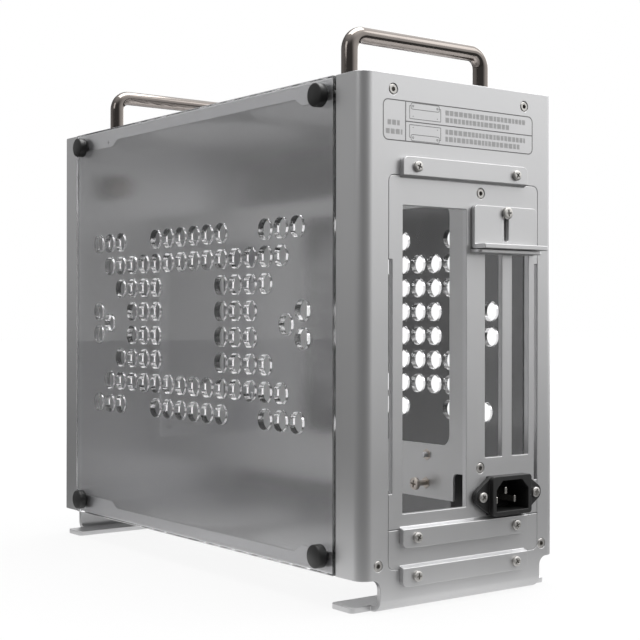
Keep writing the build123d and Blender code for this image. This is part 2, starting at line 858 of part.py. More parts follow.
def board_nuts():
    return Compound([press_nut(y, z, nut_bore_radius) for y, z in board_nut_places])


def spare_screw():
    """The screw that stands in the lower rear nut of the board."""
    y, z = board_nut_places[0]
    x_head = tray_face_x + spare_screw_standout
    head = rod_x(spare_screw_head_diameter / 2, y, z, x_head, x_head + spare_screw_head_height)
    return head + rod_x(nut_bore_radius, y, z, x_head - spare_screw_length, x_head)


def riser_bracket():
    """An angle on the far face of the tray that carries the riser socket."""
    x_face = tray_face_x - tray_wall
    y_rear = rear_y - riser_nut_from_rear + riser_margin
    y_front = y_rear - riser_hole_spacing - 2 * riser_margin
    low = base_z + riser_shelf_z
    leg = block(x_face - riser_wall, x_face, y_front, y_rear, low, base_z + riser_top)
    shelf = block(x_face - riser_shelf_depth, x_face, y_front, y_rear, low, low + riser_wall)
    bracket = leg + shelf
    hole = flush_shank_diameter / 2 + screw_clearance
    for y, z in riser_hole_places:
        bracket -= rod_x(hole, y, z, x_face - riser_wall, x_face)
    return bracket


def riser_nuts():
    return Compound([press_nut(y, z, pan_shank_diameter / 2) for y, z in riser_hole_places])


def riser_screws():
    x_seat = tray_face_x - tray_wall - riser_wall
    screws = []
    for y, z in riser_hole_places:
        head = rod_x(pan_head_diameter / 2, y, z, x_seat - pan_head_height, x_seat)
        screws.append(head + rod_x(pan_shank_diameter / 2, y, z, x_seat, tray_face_x - riser_screw_recess))
    return Compound(screws)


def supply_bracket():
    """A frame for the power supply, folded onto the tray along one side."""
    x_face = tray_face_x
    y0 = supply_rear_y
    low = base_z + supply_bottom
    width = supply_width + 2 * fit_gap
    middle = Pos(x_face + width / 2, low + supply_height / 2)
    window = Rectangle(width - 2 * supply_rim, supply_height - 2 * supply_rim)
    window = chamfer(window.vertices(), supply_corner_web)
    bolt_x = supply_width - 2 * supply_bolt_inset
    bolt_z = supply_height - 2 * supply_bolt_inset
    bolts = GridLocations(bolt_x, bolt_z, 2, 2) * Circle(supply_bolt_hole_radius)
    section = Rectangle(width, supply_height) - window - bolts
    frame = extrude(facing_rear(y0) * middle * section, supply_wall)
    flange = block(x_face, x_face + supply_wall, y0, y0 + supply_flange, low, low + supply_height)
    bracket = frame + flange
    hole = flush_shank_diameter / 2 + screw_clearance
    for y, z in supply_hole_places:
        bracket -= rod_x(hole, y, z, x_face, x_face + supply_wall)
    return bracket


def supply_screws():
    x_seat = tray_face_x + supply_wall
    screws = []
    for y, z in supply_hole_places:
        head = rod_x(pan_head_diameter / 2, y, z, x_seat, x_seat + pan_head_height)
        x_end = tray_face_x - tray_wall
        screws.append(head + rod_x(pan_shank_diameter / 2, y, z, x_end, x_seat))
    return Compound(screws)


def button_housing():
    """A round switch body with a bezel on the front face and a bore for its cap."""
    x = button_x
    z = button_z
    bezel_y = front_y - button_bezel_height
    bezel = rod_y(button_bezel_diameter / 2, x, z, bezel_y, front_y)
    bezel = chamfer(bezel.edges().filter_by(GeomType.CIRCLE).sort_by(Axis.Y)[0], knob_chamfer)
    body = rod_y(button_body_diameter / 2, x, z, front_y, bezel_y + button_body_length)
    bore_depth = button_cap_height + button_travel + button_gap
    bore = rod_y(button_cap_diameter / 2 + button_gap, x, z, bezel_y, bezel_y + bore_depth)
    return bezel + body - bore


def button_nut():
    y_end = inner_front_y + button_nut_height
    section = Pos(button_x, button_z)
    section *= hexagon(button_nut_across_flats) - Circle(button_body_diameter / 2)
    return extrude(facing_rear(y_end) * section, button_nut_height)


def power_button():
    bezel_y = front_y - button_bezel_height
    y_end = bezel_y + button_cap_height
    return rod_y(button_cap_diameter / 2, button_x, button_z, bezel_y, y_end)


panel_right_x = inner_half_width
panel_left_x = -inner_half_width - panel_wall
pieces = {
    "rear_shell": rear_shell(),
    "front_shell": front_shell(),
    "top_plate": top_plate(),
    "bottom_plate": bottom_plate(),
    "side_panel_right": side_panel(panel_right_x),
    "side_panel_left": side_panel(panel_left_x),
    "panel_knobs_right": panel_knobs(1),
    "panel_knobs_left": panel_knobs(-1),
    "io_plate": io_plate(),
    "adapter_plate": adapter_plate(),
    "tab_screws": tab_screws(),
    "pcie_retainer": pcie_retainer(),
    "retainer_screw": retainer_screw(),
    "power_inlet": power_inlet(),
    "inlet_pins": inlet_pins(),
    "inlet_screws": inlet_screws(),
    "centre_tray": centre_tray(),
    "tray_screws": tray_screws(),
    "board_nuts": board_nuts(),
    "spare_screw": spare_screw(),
    "riser_bracket": riser_bracket(),
    "riser_nuts": riser_nuts(),
    "riser_screws": riser_screws(),
    "supply_bracket": supply_bracket(),
    "supply_screws": supply_screws(),
    "handle_rear": handle(handle_ys[1]),
    "handle_front": handle(handle_ys[0]),
    "handle_screws": handle_screws(),
    "rear_shell_screws": shell_screws(rear_y, inner_rear_y - plate_wall),
    "front_shell_screws": shell_screws(front_y, inner_front_y + plate_wall),
    "button_housing": button_housing(),
    "button_nut": button_nut(),
    "power_button": power_button(),
}

os.makedirs("parts", exist_ok=True)
for name, piece in pieces.items():
    export_step(piece, f"parts/{name}.step")
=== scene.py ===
import math
import random
from collections import defaultdict

import bmesh
import bpy
import numpy as np
from mathutils import Matrix, Vector
from mathutils.bvhtree import BVHTree
from mathutils.geometry import delaunay_2d_cdt


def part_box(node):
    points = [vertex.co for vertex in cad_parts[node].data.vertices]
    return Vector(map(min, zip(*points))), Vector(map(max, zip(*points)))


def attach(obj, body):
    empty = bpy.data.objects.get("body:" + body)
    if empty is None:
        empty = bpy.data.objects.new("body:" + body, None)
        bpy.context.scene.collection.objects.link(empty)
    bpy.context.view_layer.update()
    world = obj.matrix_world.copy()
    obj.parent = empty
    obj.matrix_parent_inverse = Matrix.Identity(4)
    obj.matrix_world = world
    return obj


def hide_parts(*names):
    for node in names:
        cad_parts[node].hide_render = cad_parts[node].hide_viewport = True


# The looks of the small desktop case: edges, screws, clear drilled panels, handles,
# printed outlines and finishes, set on the solid model. Metres; +X is the side of the
# motherboard, +Y the rear and +Z up.

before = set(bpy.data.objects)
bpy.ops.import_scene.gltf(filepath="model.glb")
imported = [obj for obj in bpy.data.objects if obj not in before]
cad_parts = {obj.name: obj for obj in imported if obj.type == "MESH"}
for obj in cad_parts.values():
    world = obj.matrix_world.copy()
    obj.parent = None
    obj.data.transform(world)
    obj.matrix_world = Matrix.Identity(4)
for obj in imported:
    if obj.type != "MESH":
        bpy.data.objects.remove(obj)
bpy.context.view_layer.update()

MM = 0.001

# Points nearer than these distances are merged
MERGE_DISTANCE = 2e-6
WELD_DISTANCE = 3e-6

# Edges past these degrees stay sharp
SCREW_CREASE = 35
PANEL_CREASE = 25
ROUND_CREASE = 40

# Axes by number
SIDE_AXIS = 0
REAR_AXIS = 1
UP_AXIS = 2

# Camera, solved from points of the photograph whose real places are known
CAMERA_PLACE = Vector((0.48749, 0.68389, 0.15010))
CAMERA_YAW = math.radians(36.92)
CAMERA_PITCH = math.radians(-0.093)
CAMERA_ROLL = math.radians(0.069)
FOCAL_PIXELS = 1331.4
FRAME_PIXELS = 640
SENSOR = 36.0

# Sheet metal: its folds and corners past SHARP_ANGLE are rounded
SHARP_ANGLE = math.radians(38)
FLAT_ANGLE = math.radians(0.5)
SHELL_THICKNESS = 3.0 * MM
EDGE_ROUNDING = 0.35 * MM
FINE_ROUNDING = 0.2 * MM
NUT_ROUNDING = 0.1 * MM
PIN_ROUNDING = 0.6 * MM
ROUNDED = 1
OUTWARD_SHARE = 0.4
FLAT_TOLERANCE = 0.0015 * MM
SMOOTH_COSINE = math.cos(SHARP_ANGLE)
FILL_INSIDE = 1
FILL_TOLERANCE = 1e-7

# Screws; a cross's measures are shares of its head's radius or height, or of its own mouth
TURNED_STEPS = 40
SHANK_RADIUS = 1.5 * MM
PAN_RADIUS = 2.8 * MM
PAN_HEIGHT = 1.8 * MM
PAN_SHANK = 6.0 * MM
RETAINER_PAN_RADIUS = 3.3 * MM
RETAINER_SHANK_RADIUS = 1.35 * MM
RETAINER_SHANK = 6.1 * MM
SPARE_PAN_RADIUS = 3.5 * MM
SPARE_HEIGHT = 2.2 * MM
SPARE_SHANK = 8.5 * MM
CROSS_REACH = 0.6
CROSS_HALF_WING = 0.15
CROSS_DEPTH = 0.85
CROSS_MOUTH_REACH = 1.3
CROSS_MOUTH_RISE = 0.6
CROSS_FOOT_REACH = 0.5
CROSS_FOOT_WING = 0.8
FLUSH_RADIUS = 2.9 * MM
FLUSH_HEIGHT = 1.7 * MM
FLUSH_RIM = FLUSH_RADIUS * 0.22
SOCKET_RADIUS = 1.35 * MM
SOCKET_DEPTH = 2.6 * MM
FLUSH_LENGTH = 5.0 * MM
SHORT_FLUSH_LENGTH = 4.5 * MM

# Knobs and handles
KNOB_RADIUS = 6.25 * MM
KNOB_HEIGHT = 5.0 * MM
KNOB_COLLAR_RADIUS = 2.8 * MM
KNOB_COLLAR_END = -4.0 * MM
KNOB_STUD_RADIUS = 2.0 * MM
KNOB_STUD_END = -8.0 * MM
KNOB_CHAMFER = 0.3 * MM
KNOB_STEPS = 64
HANDLE_BEND = 8.6 * MM
HANDLE_BEND_STEPS = 12

# Finishes
GRAIN_SCALE = 3000.0
CLOUD_SCALE = 18.0
MARKS_SCALE = 40.0
GRAIN_DEPTH = 0.05 * MM
FROST_DEPTH = 0.02 * MM
MARKS_STRETCH = (1.0, 0.35, 1.6)
MARKS_TURN = (0.3, 0.5, 0.2)
MARKS_SHARPNESS = 5.0
MARKS_ROUGHEN = 0.12
ACRYLIC_IOR = 1.49
ACRYLIC_GRAIN = 1400.0
ACRYLIC_CLOUD = 7.0
DARKER_ACRYLIC = 0.97

# Drilled clear panels
HOLE_RADIUS = 5.8 * MM
HOLE_PITCH = 15.0 * MM
HOLE_COLUMNS = 16
HOLE_SEGMENTS = 48
HOLE_CHAMFER = 0.2 * MM
HOLE_PATTERN_RISE = 0.5 * MM
END_PAIR_SHIFT = 5.0 * MM
PANEL_BACK_GAP = 0.1 * MM
PANEL_CHAMFER = 0.6 * MM
PANEL_CORNER = 1.5 * MM
CORNER_STEPS = 6

# Rows of holes above and below the middle: height in pitches, and columns from the front
PANEL_ROWS = {
    3.5: [0, 1, 2, 5, 6, 7, 8, 9, 10, 13, 14, 15],
    2.5: list(range(1, 15)),
    1.5: [2, 3, 4, 5, 10, 11, 12, 13],
    0.5: [3, 4, 5, 10, 11, 12],
}

# Printed outlines on the rear
PRINT_THICKNESS = 0.03 * MM
PRINT_LINE = 0.55 * MM
LABEL_LEFT = 56.1 * MM
LABEL_RIGHT = -51.2 * MM
LABEL_LOW = 241.0 * MM
LABEL_HIGH = 261.6 * MM
LABEL_CORNER = 3.0 * MM
LABEL_DIVIDER = 41.2 * MM
PLATE_LEFT = 38.5 * MM
PLATE_RIGHT = 17.0 * MM
UPPER_PLATE = (252.9 * MM, 259.5 * MM)
LOWER_PLATE = (249.8 * MM, 243.2 * MM)
PLATE_LINE = 0.55 * PRINT_LINE
LIP_INSET = 1.0 * MM
LIP_HEIGHT = 3.2 * MM
LIP_CORNER = 0.3 * LIP_HEIGHT
SCREW_MARK_SHARE = 0.86
DOT = 0.45 * MM
DOT_CORNER = 0.6 * DOT
DOT_RISE = 0.2

# Rows of plain bars as (left, right, height)
BAR_ROWS_MM = (
    (13.6, -45.5, 258.1),
    (13.6, -33.6, 254.3),
    (13.6, -45.5, 248.1),
    (13.6, -42.0, 244.3),
    (53.2, 44.6, 250.0),
    (54.4, 43.4, 245.4),
)
BAR_HEIGHT = 2.6 * MM
BAR_GAP = 0.75 * MM
BAR_LENGTHS = (1.6 * MM, 2.8 * MM)
BAR_SEED = 5
MARK_LONG = 3.0 * MM
MARK_WIDE = 0.6 * MM
MARK_PLACE = (-106.3 * MM, 266.0 * MM)

# Room: its sides as (direction, cosine where a side starts, cosine where it is full, level),
# over one dim level. The white backdrop shows whole to the eye and inside glass, and faintly in
# metal. Straight behind the case the glass sees a shaded sector of it.
ROOM_LEVEL = 0.08
ROOM_SIDES = (
    ((-0.74, 0.34, 0.55), 0.30, 1.0, 1.42),
    ((0.62, -0.75, -0.25), 0.5, 1.0, 0.42),
    ((-0.85, -0.50, 0.05), 0.70, 0.95, 2.2),
    ((0.0, 0.0, 1.0), 0.4, 1.0, 1.0),
)
BACKDROP_IN_METAL = 0.08
BACKDROP_IN_GLASS = 1.0
SHADED_WAY = (-0.68, -0.73, -0.05)
SHADED_FROM = 0.20
SHADED_WHOLE = 0.75
BACKDROP_SHADED = 0.0

# Floor: distances from the middle of the case; close to its feet metal mirrors it brightly
FLOOR_SIZE = 14.0
FLOOR_COLOUR = 0.06
FLOOR_GLOW = 0.90
GLOW_FROM = 0.25
GLOW_WHOLE = 1.2
FLOOR_MIRRORED_NEAR = 1.0
FLOOR_MIRRORED_FAR = 0.03
MIRRORED_FROM = 0.165
MIRRORED_TO = 0.36
MIRRORED_POWER = 3.0
FLOOR_IN_GLASS = 0.9
FLOOR_SHADED = 0.0

# Lamps as (name, place, what it points at, width and height, watts)
LAMPS = (
    ("rear key", (-1.5, 1.1, 1.5), (0, 0.1, 0.15), (0.9, 0.9), 6),
    ("side fill", (1.9, 0.1, 1.2), (0, 0, 0.15), (0.9, 0.9), 5),
    ("top", (-0.1, 0.0, 1.6), (0, 0, 0.1), (1.2, 1.2), 26),
)


# Node tree helpers


def give(tree, socket, value):
    """Link an input to another node's output, or set it."""
    if isinstance(value, bpy.types.NodeSocket):
        tree.links.new(value, socket)
    else:
        socket.default_value = value


def feed(tree, node, **inputs):
    """Link or set a node's inputs by name, with _ for a space."""
    for name, value in inputs.items():
        give(tree, node.inputs[name.replace("_", " ")], value)
    return node


def add(tree, kind, **values):
    """One node: names in small letters are its properties, and the others its inputs."""
    node = tree.nodes.new(kind)
    inputs = {}
    for name, value in values.items():
        if name[0].isupper():
            inputs[name] = value
        else:
            setattr(node, name, value)
    return feed(tree, node, **inputs)


def math_node(tree, operation, *values, clamp=False):
    """The result of some arithmetic, with each value a number or another node's output."""
    node = add(tree, "ShaderNodeMath", operation=operation, use_clamp=clamp)
    for value, socket in zip(values, node.inputs):
        give(tree, socket, value)
    return node.outputs[0]


def ranged(tree, value, low, high, start=0.0, end=1.0, **settings):
    """A value that goes from low to high while another goes from start to end."""
    node = add(tree, "ShaderNodeMapRange", Value=value, From_Min=start, From_Max=end,
               To_Min=low, To_Max=high, **settings)
    return node.outputs["Result"]


def tinted(tree, value, dark, light):
    """A colour between two, picked by a value."""
    node = add(tree, "ShaderNodeMix", data_type="RGBA")
    tree.links.new(value, node.inputs["Factor"])
    sockets = [socket for socket in node.inputs if socket.type == "RGBA"]
    sockets[0].default_value = (*dark, 1.0)
    sockets[1].default_value = (*light, 1.0)
    return [socket for socket in node.outputs if socket.type == "RGBA"][0]


def with_relief(tree, shader, height, strength, depth):
    """Feed a shader's normal with a bump from a height."""
    relief = add(tree, "ShaderNodeBump", Strength=strength, Distance=depth, Height=height)
    feed(tree, shader, Normal=relief.outputs["Normal"])


def new_group(name, inputs, outputs):
    """A shader node group with named float sockets."""
    tree = bpy.data.node_groups.new(name, "ShaderNodeTree")
    for label, value in inputs.items():
        socket = tree.interface.new_socket(label, in_out="INPUT", socket_type="NodeSocketFloat")
        socket.default_value = value
    for label in outputs:
        tree.interface.new_socket(label, in_out="OUTPUT", socket_type="NodeSocketFloat")
    return tree, tree.nodes.new("NodeGroupInput"), tree.nodes.new("NodeGroupOutput")


# Finishes shared by the materials


def blasted_grain():
    """Fine even grain of a bead-blasted or moulded surface."""
    scales = {"Grain": GRAIN_SCALE, "Cloud": CLOUD_SCALE}
    tree, given, made = new_group("blasted grain", scales, ["Height", "Cloud"])
    place = add(tree, "ShaderNodeTexCoord").outputs["Object"]
    grain = add(tree, "ShaderNodeTexNoise", Vector=place, Scale=given.outputs["Grain"], Detail=2.0)
    cloud = add(tree, "ShaderNodeTexNoise", Vector=place, Scale=given.outputs["Cloud"], Detail=3.0)
    feed(tree, made, Height=grain.outputs["Fac"], Cloud=cloud.outputs["Fac"])
    return tree


def handling_marks():
    """Faint wipes and fine scratches, to roughen a surface."""
    scales = {"Scale": MARKS_SCALE, "Sharpness": MARKS_SHARPNESS}
    tree, given, made = new_group("handling marks", scales, ["Marks"])
    place = add(tree, "ShaderNodeTexCoord").outputs["Object"]
    stretch = add(tree, "ShaderNodeMapping", Vector=place, Scale=MARKS_STRETCH,
                  Rotation=MARKS_TURN)
    noise = add(tree, "ShaderNodeTexNoise", Vector=stretch.outputs["Vector"],
                Scale=given.outputs["Scale"], Detail=6.0, Roughness=0.7)
    level = math_node(tree, "POWER", noise.outputs["Fac"], given.outputs["Sharpness"])
    feed(tree, made, Marks=level)
    return tree


GRAIN = blasted_grain()
MARKS = handling_marks()


def place_group(tree, group, **values):
    """A group node in a material, with this material's own values."""
    return add(tree, "ShaderNodeGroup", node_tree=group, **values)


def finish_material(name, dark, light, rough, metallic=0.0, grain=GRAIN_SCALE,
                    cloud=CLOUD_SCALE, bump=0.1, marks=MARKS_SCALE):
    """A material with grain, slow changes of tone and faint handling marks."""
    material = bpy.data.materials.new(name)
    material.use_nodes = True
    tree = material.node_tree
    shader = tree.nodes["Principled BSDF"]
    texture = place_group(tree, GRAIN, Grain=grain, Cloud=cloud)
    wear = place_group(tree, MARKS, Scale=marks, Sharpness=MARKS_SHARPNESS)
    colour = tinted(tree, texture.outputs["Cloud"], dark, light)
    cloudy = ranged(tree, texture.outputs["Cloud"], *rough)
    marked = ranged(tree, wear.outputs["Marks"], 0.0, MARKS_ROUGHEN)
    roughness = math_node(tree, "ADD", cloudy, marked)
    feed(tree, shader, Base_Color=colour, Roughness=roughness, Metallic=metallic)
    with_relief(tree, shader, texture.outputs["Height"], bump, GRAIN_DEPTH)
    return material


def clear_material(name, tint, rough, grain_bump=0.0):
    """Clear acrylic: tinted, with a faint unevenness in its polish or its frosting."""
    material = bpy.data.materials.new(name)
    material.use_nodes = True
    tree = material.node_tree
    shader = tree.nodes["Principled BSDF"]
    texture = place_group(tree, GRAIN, Grain=ACRYLIC_GRAIN, Cloud=ACRYLIC_CLOUD)
    dark = [DARKER_ACRYLIC * channel for channel in tint]
    colour = tinted(tree, texture.outputs["Cloud"], dark, tint)
    roughness = ranged(tree, texture.outputs["Cloud"], *rough)
    feed(tree, shader, Base_Color=colour, Roughness=roughness, IOR=ACRYLIC_IOR,
         Transmission_Weight=1.0)
    if grain_bump:
        with_relief(tree, shader, texture.outputs["Height"], grain_bump, FROST_DEPTH)
    return material


BLASTED = finish_material("blasted aluminium", (0.60, 0.60, 0.605), (0.66, 0.66, 0.665),
                          (0.34, 0.42), metallic=0.75, bump=0.15)
TRAY = finish_material("tray aluminium", (0.58, 0.58, 0.58), (0.63, 0.63, 0.63),
                       (0.40, 0.48), metallic=0.7, bump=0.12)
ZINC = finish_material("zinc plated steel", (0.50, 0.50, 0.51), (0.60, 0.60, 0.61),
                       (0.30, 0.42), metallic=0.9, cloud=60.0)
PLATED = finish_material("plated screw steel", (0.50, 0.49, 0.47), (0.58, 0.565, 0.545),
                         (0.34, 0.44), metallic=1.0, cloud=300.0, marks=300.0)
WARM = finish_material("warm standoff metal", (0.50, 0.45, 0.41), (0.60, 0.55, 0.50),
                       (0.28, 0.38), metallic=0.9, cloud=250.0, marks=250.0)
POLISHED = finish_material("polished handle steel", (0.17, 0.152, 0.140), (0.22, 0.198, 0.184),
                           (0.07, 0.13), metallic=1.0, cloud=60.0, marks=60.0)
KNOB = finish_material("black knob moulding", (0.010, 0.010, 0.010), (0.016, 0.016, 0.016),
                       (0.38, 0.50), grain=2200.0, bump=0.35)
INLET = finish_material("black inlet moulding", (0.012, 0.012, 0.012), (0.02, 0.02, 0.02),
                        (0.42, 0.52), grain=2600.0, bump=0.4)
PINS = finish_material("nickel pins", (0.66, 0.64, 0.60), (0.74, 0.72, 0.68),
                       (0.18, 0.26), metallic=1.0, cloud=400.0, marks=400.0)
PRINT = finish_material("grey print", (0.17, 0.17, 0.17), (0.21, 0.21, 0.21), (0.5, 0.6))
BARS = finish_material("pale grey print", (0.44, 0.44, 0.44), (0.48, 0.48, 0.48), (0.5, 0.6),
                       metallic=0.3)
CLEAR_FACE = clear_material("clear panel outer face", (0.80, 0.80, 0.81), (0.01, 0.03))
FROSTED_FACE = clear_material("frosted panel inner face", (0.80, 0.80, 0.81), (0.19, 0.23), 0.1)
CLEAR_WALL = clear_material("polished hole wall", (0.94, 0.94, 0.95), (0.005, 0.015))


# Meshes


def mesh_object(name, mesh):
    """An object in the scene for a mesh or a curve."""
    made = bpy.data.objects.new(name, mesh)
    bpy.context.scene.collection.objects.link(made)
    return made


def from_bmesh(name, bm):
    """An object from an edit mesh, which is freed."""
    mesh = bpy.data.meshes.new(name)
    bm.to_mesh(mesh)
    bm.free()
    return mesh_object(name, mesh)


def baked(thing, name=None):
    """A plain mesh object with the shape that a thing's modifiers give it."""
    graph = bpy.context.evaluated_depsgraph_get()
    mesh = bpy.data.meshes.new_from_object(thing.evaluated_get(graph), depsgraph=graph)
    return mesh_object(name or thing.name, mesh)


def drop(*things):
    """Take helper objects out of the scene."""
    for thing in things:
        bpy.data.objects.remove(thing)


def ring(radius, z, steps):
    """Points round a circle about Z."""
    angles = [math.tau * i / steps for i in range(steps)]
    return [(radius * math.cos(angle), radius * math.sin(angle), z) for angle in angles]


def smooth_by_angle(thing, degrees):
    """Smooth shading with sharp edges past an angle."""
    mesh = thing.data
    bm = bmesh.new()
    bm.from_mesh(mesh)
    limit = math.radians(degrees)
    for face in bm.faces:
        face.smooth = True
    for edge in bm.edges:
        edge.smooth = len(edge.link_faces) == 2 and edge.calc_face_angle(0.0) < limit
    bm.to_mesh(mesh)
    bm.free()


def merged_copy(node):
    """A copy of a solid's mesh in whole faces, with those that run round a hole in triangles."""
    bm = bmesh.new()
    bm.from_mesh(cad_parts[node].data)
    bmesh.ops.remove_doubles(bm, verts=bm.verts, dist=MERGE_DISTANCE)
    bmesh.ops.dissolve_limit(bm, angle_limit=FLAT_ANGLE, verts=bm.verts, edges=bm.edges)
    bmesh.ops.triangulate(bm, faces=[face for face in bm.faces if len(face.verts) > 4])
    return bm


def stand_for(piece, material, *nodes, body="case", slot=None):
    """Give a piece its finish and its body, and hide the solids that it stands for."""
    if material is not None:
        piece.data.materials.clear()
        piece.data.materials.append(material)
    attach(piece, body)
    if nodes:
        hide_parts(*nodes)
    return piece


def planes_of(bm):
    """The faces of a mesh in lists that each lie in one plane, largest faces first."""
    free = set(range(len(bm.faces)))
    planes = []
    for first in sorted(bm.faces, key=lambda face: (-face.calc_area(), face.index)):
        if first.index not in free:
            continue
        free.discard(first.index)
        place = first.verts[0].co
        plane = [first]
        for face in plane:
            for edge in face.edges:
                for other in edge.link_faces:
                    if other.index not in free or other.material_index != first.material_index:
                        continue
                    away = max(abs((vert.co - place).dot(first.normal)) for vert in other.verts)
                    if away < FLAT_TOLERANCE:
                        free.discard(other.index)
                        plane.append(other)
        planes.append(plane)
    return planes


def inside(point, starts, ends):
    """Whether a point lies within the loops that some edges make, by the edges it crosses."""
    above_start = starts[:, 1] > point[1]
    above_end = ends[:, 1] > point[1]
    crossed = above_start != above_end
    run = ends[crossed] - starts[crossed]
    rise = (point[1] - starts[crossed, 1]) / run[:, 1]
    return np.count_nonzero(starts[crossed, 0] + rise * run[:, 0] > point[0]) % 2 == 1


def refilled(plane, normal, points):
    """Triangles over the outline of a plane's faces; where outlines cross, points are added."""
    if len(plane) == 1 and len(plane[0].verts) < 5:
        return [tuple(vert.index for vert in plane[0].verts)]
    members = set(plane)
    rim = [edge for face in plane for edge in face.edges
           if sum(other in members for other in edge.link_faces) == 1]
    verts = sorted({vert for edge in rim for vert in edge.verts}, key=lambda vert: vert.index)
    number = {vert: i for i, vert in enumerate(verts)}
    across = normal.orthogonal().normalized()
    up = normal.cross(across)
    place = verts[0].co
    flat = [Vector(((vert.co - place).dot(across), (vert.co - place).dot(up))) / MM
            for vert in verts]
    edges = [(number[a], number[b]) for a, b in (edge.verts for edge in rim)]
    spots, _, faces, came_from, _, _ = delaunay_2d_cdt(
        flat, edges, [], FILL_INSIDE, FILL_TOLERANCE)
    starts = np.array([tuple(flat[a]) for a, _ in edges])
    ends = np.array([tuple(flat[b]) for _, b in edges])
    indices = []
    for spot, sources in zip(spots, came_from):
        if sources:
            indices.append(verts[sources[0]].index)
        else:
            indices.append(len(points))
            points.append(place + (across * spot.x + up * spot.y) * MM)
    made = []
    for face in faces:
        middle = sum((spots[i] for i in face), Vector((0, 0))) / 3
        if inside(middle, starts, ends):
            made.append(tuple(indices[i] for i in face))
    return made


def blended(choices, way):
    """The mean by area of the normals near to a way, from (normal, area) pairs."""
    total = Vector((0, 0, 0))
    for normal, area in choices:
        if normal.dot(way) > SMOOTH_COSINE:
            total += normal * area
    return total.normalized() if total.length else way


def flattened(thing):
    """Fill each flat of a rounded solid afresh and give its corners the normals of the flats."""
    bm = bmesh.new()
    bm.from_mesh(thing.data)
    bm.normal_update()
    faces = []
    owners = []
    planes = []
    points = [vert.co.copy() for vert in bm.verts]
    at_vert = defaultdict(dict)
    for number, plane in enumerate(planes_of(bm)):
        total = Vector((0, 0, 0))
        for face in plane:
            total += face.normal * face.calc_area()
        normal = total.normalized()
        flat = plane[0].material_index != ROUNDED
        planes.append((normal, total.length, flat))
        for face in refilled(plane, normal, points):
            faces.append(face)
            owners.append(number)
            for index in face:
                at_vert[index][number] = planes[number]
    mesh = bpy.data.meshes.new(thing.name)
    mesh.from_pydata(points, [], faces)
    bm.free()
    mesh.shade_smooth()
    normals = []
    for face, owner in zip(faces, owners):
        way = planes[owner][0]
        for index in face:
            flats = [(normal, area) for normal, area, flat in at_vert[index].values() if flat]
            if flats:
                nearest = max(flats, key=lambda choice: choice[0].dot(way))[0]
                normals.append(blended(flats, nearest))
            else:
                rounds = [(normal, area) for normal, area, _ in at_vert[index].values()]
                normals.append(sum((normal * area for normal, area in rounds), Vector()).normalized())
    mesh.normals_split_custom_set(normals)
    made = mesh_object(thing.name, mesh)
    drop(thing)
    return made


def drawn_back(thing, surface, reach):
    """Put each vertex that the rounding threw off a solid's surface back on it."""
    for vert in thing.data.vertices:
        place, normal, _, distance = surface.find_nearest(vert.co)
        is_within = (vert.co - place).dot(normal) < -FLAT_TOLERANCE
        if distance > (reach if is_within else OUTWARD_SHARE * reach):
            vert.co = place


def softened(node, width, material, body="case", slot=None):
    """A solid's own shape with its sharp edges rounded and its flats left flat."""
    solid = merged_copy(node)
    surface = BVHTree.FromBMesh(solid)
    rough = from_bmesh(node + "_finished", solid)
    for _ in range(ROUNDED + 1):
        rough.data.materials.append(material)
    bevel = rough.modifiers.new("edges", "BEVEL")
    bevel.width = width
    bevel.segments = 2
    bevel.limit_method = "ANGLE"
    bevel.angle_limit = SHARP_ANGLE
    bevel.use_clamp_overlap = False
    bevel.loop_slide = False
    bevel.miter_outer = "MITER_ARC"
    bevel.material = ROUNDED
    piece = baked(rough, rough.name)
    drop(rough)
    drawn_back(piece, surface, width)
    return stand_for(flattened(piece), material, node, body=body, slot=slot)


def solid_boxes(node):
    """The low and the high corner of each separate solid of a node."""
    bm = bmesh.new()
    bm.from_mesh(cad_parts[node].data)
    bmesh.ops.remove_doubles(bm, verts=bm.verts, dist=MERGE_DISTANCE)
    seen = set()
    boxes = []
    for first in bm.verts:
        if first in seen:
            continue
        seen.add(first)
        group = [first]
        for vert in group:
            for edge in vert.link_edges:
                other = edge.other_vert(vert)
                if other not in seen:
                    seen.add(other)
                    group.append(other)
        low = Vector(min(vert.co[i] for vert in group) for i in range(3))
        high = Vector(max(vert.co[i] for vert in group) for i in range(3))
        boxes.append((low, high))
    bm.free()
    return boxes


# Geometry Nodes


def geometry_tree(name, inputs):
    """A geometry tree with named inputs: {label: kind of socket}."""
    tree = bpy.data.node_groups.new(name, "GeometryNodeTree")
    tree.interface.new_socket("Geometry", in_out="INPUT", socket_type="NodeSocketGeometry")
    for label, kind in inputs.items():
        tree.interface.new_socket(label, in_out="INPUT", socket_type="NodeSocket" + kind)
    tree.interface.new_socket("Geometry", in_out="OUTPUT", socket_type="NodeSocketGeometry")
    return tree, tree.nodes.new("NodeGroupInput"), tree.nodes.new("NodeGroupOutput")


def run_tree(thing, tree, name, **values):
    """Run a geometry tree on an object and keep the result as a plain mesh."""
    modifier = thing.modifiers.new(tree.name, "NODES")
    modifier.node_group = tree
    keys = {item.name: item.identifier for item in tree.interface.items_tree
            if item.item_type == "SOCKET" and item.in_out == "INPUT"}
    for label, value in values.items():
        modifier[keys[label.replace("_", " ")]] = value
    bpy.context.view_layer.update()
    made = baked(thing, name)
    drop(thing)
    return made


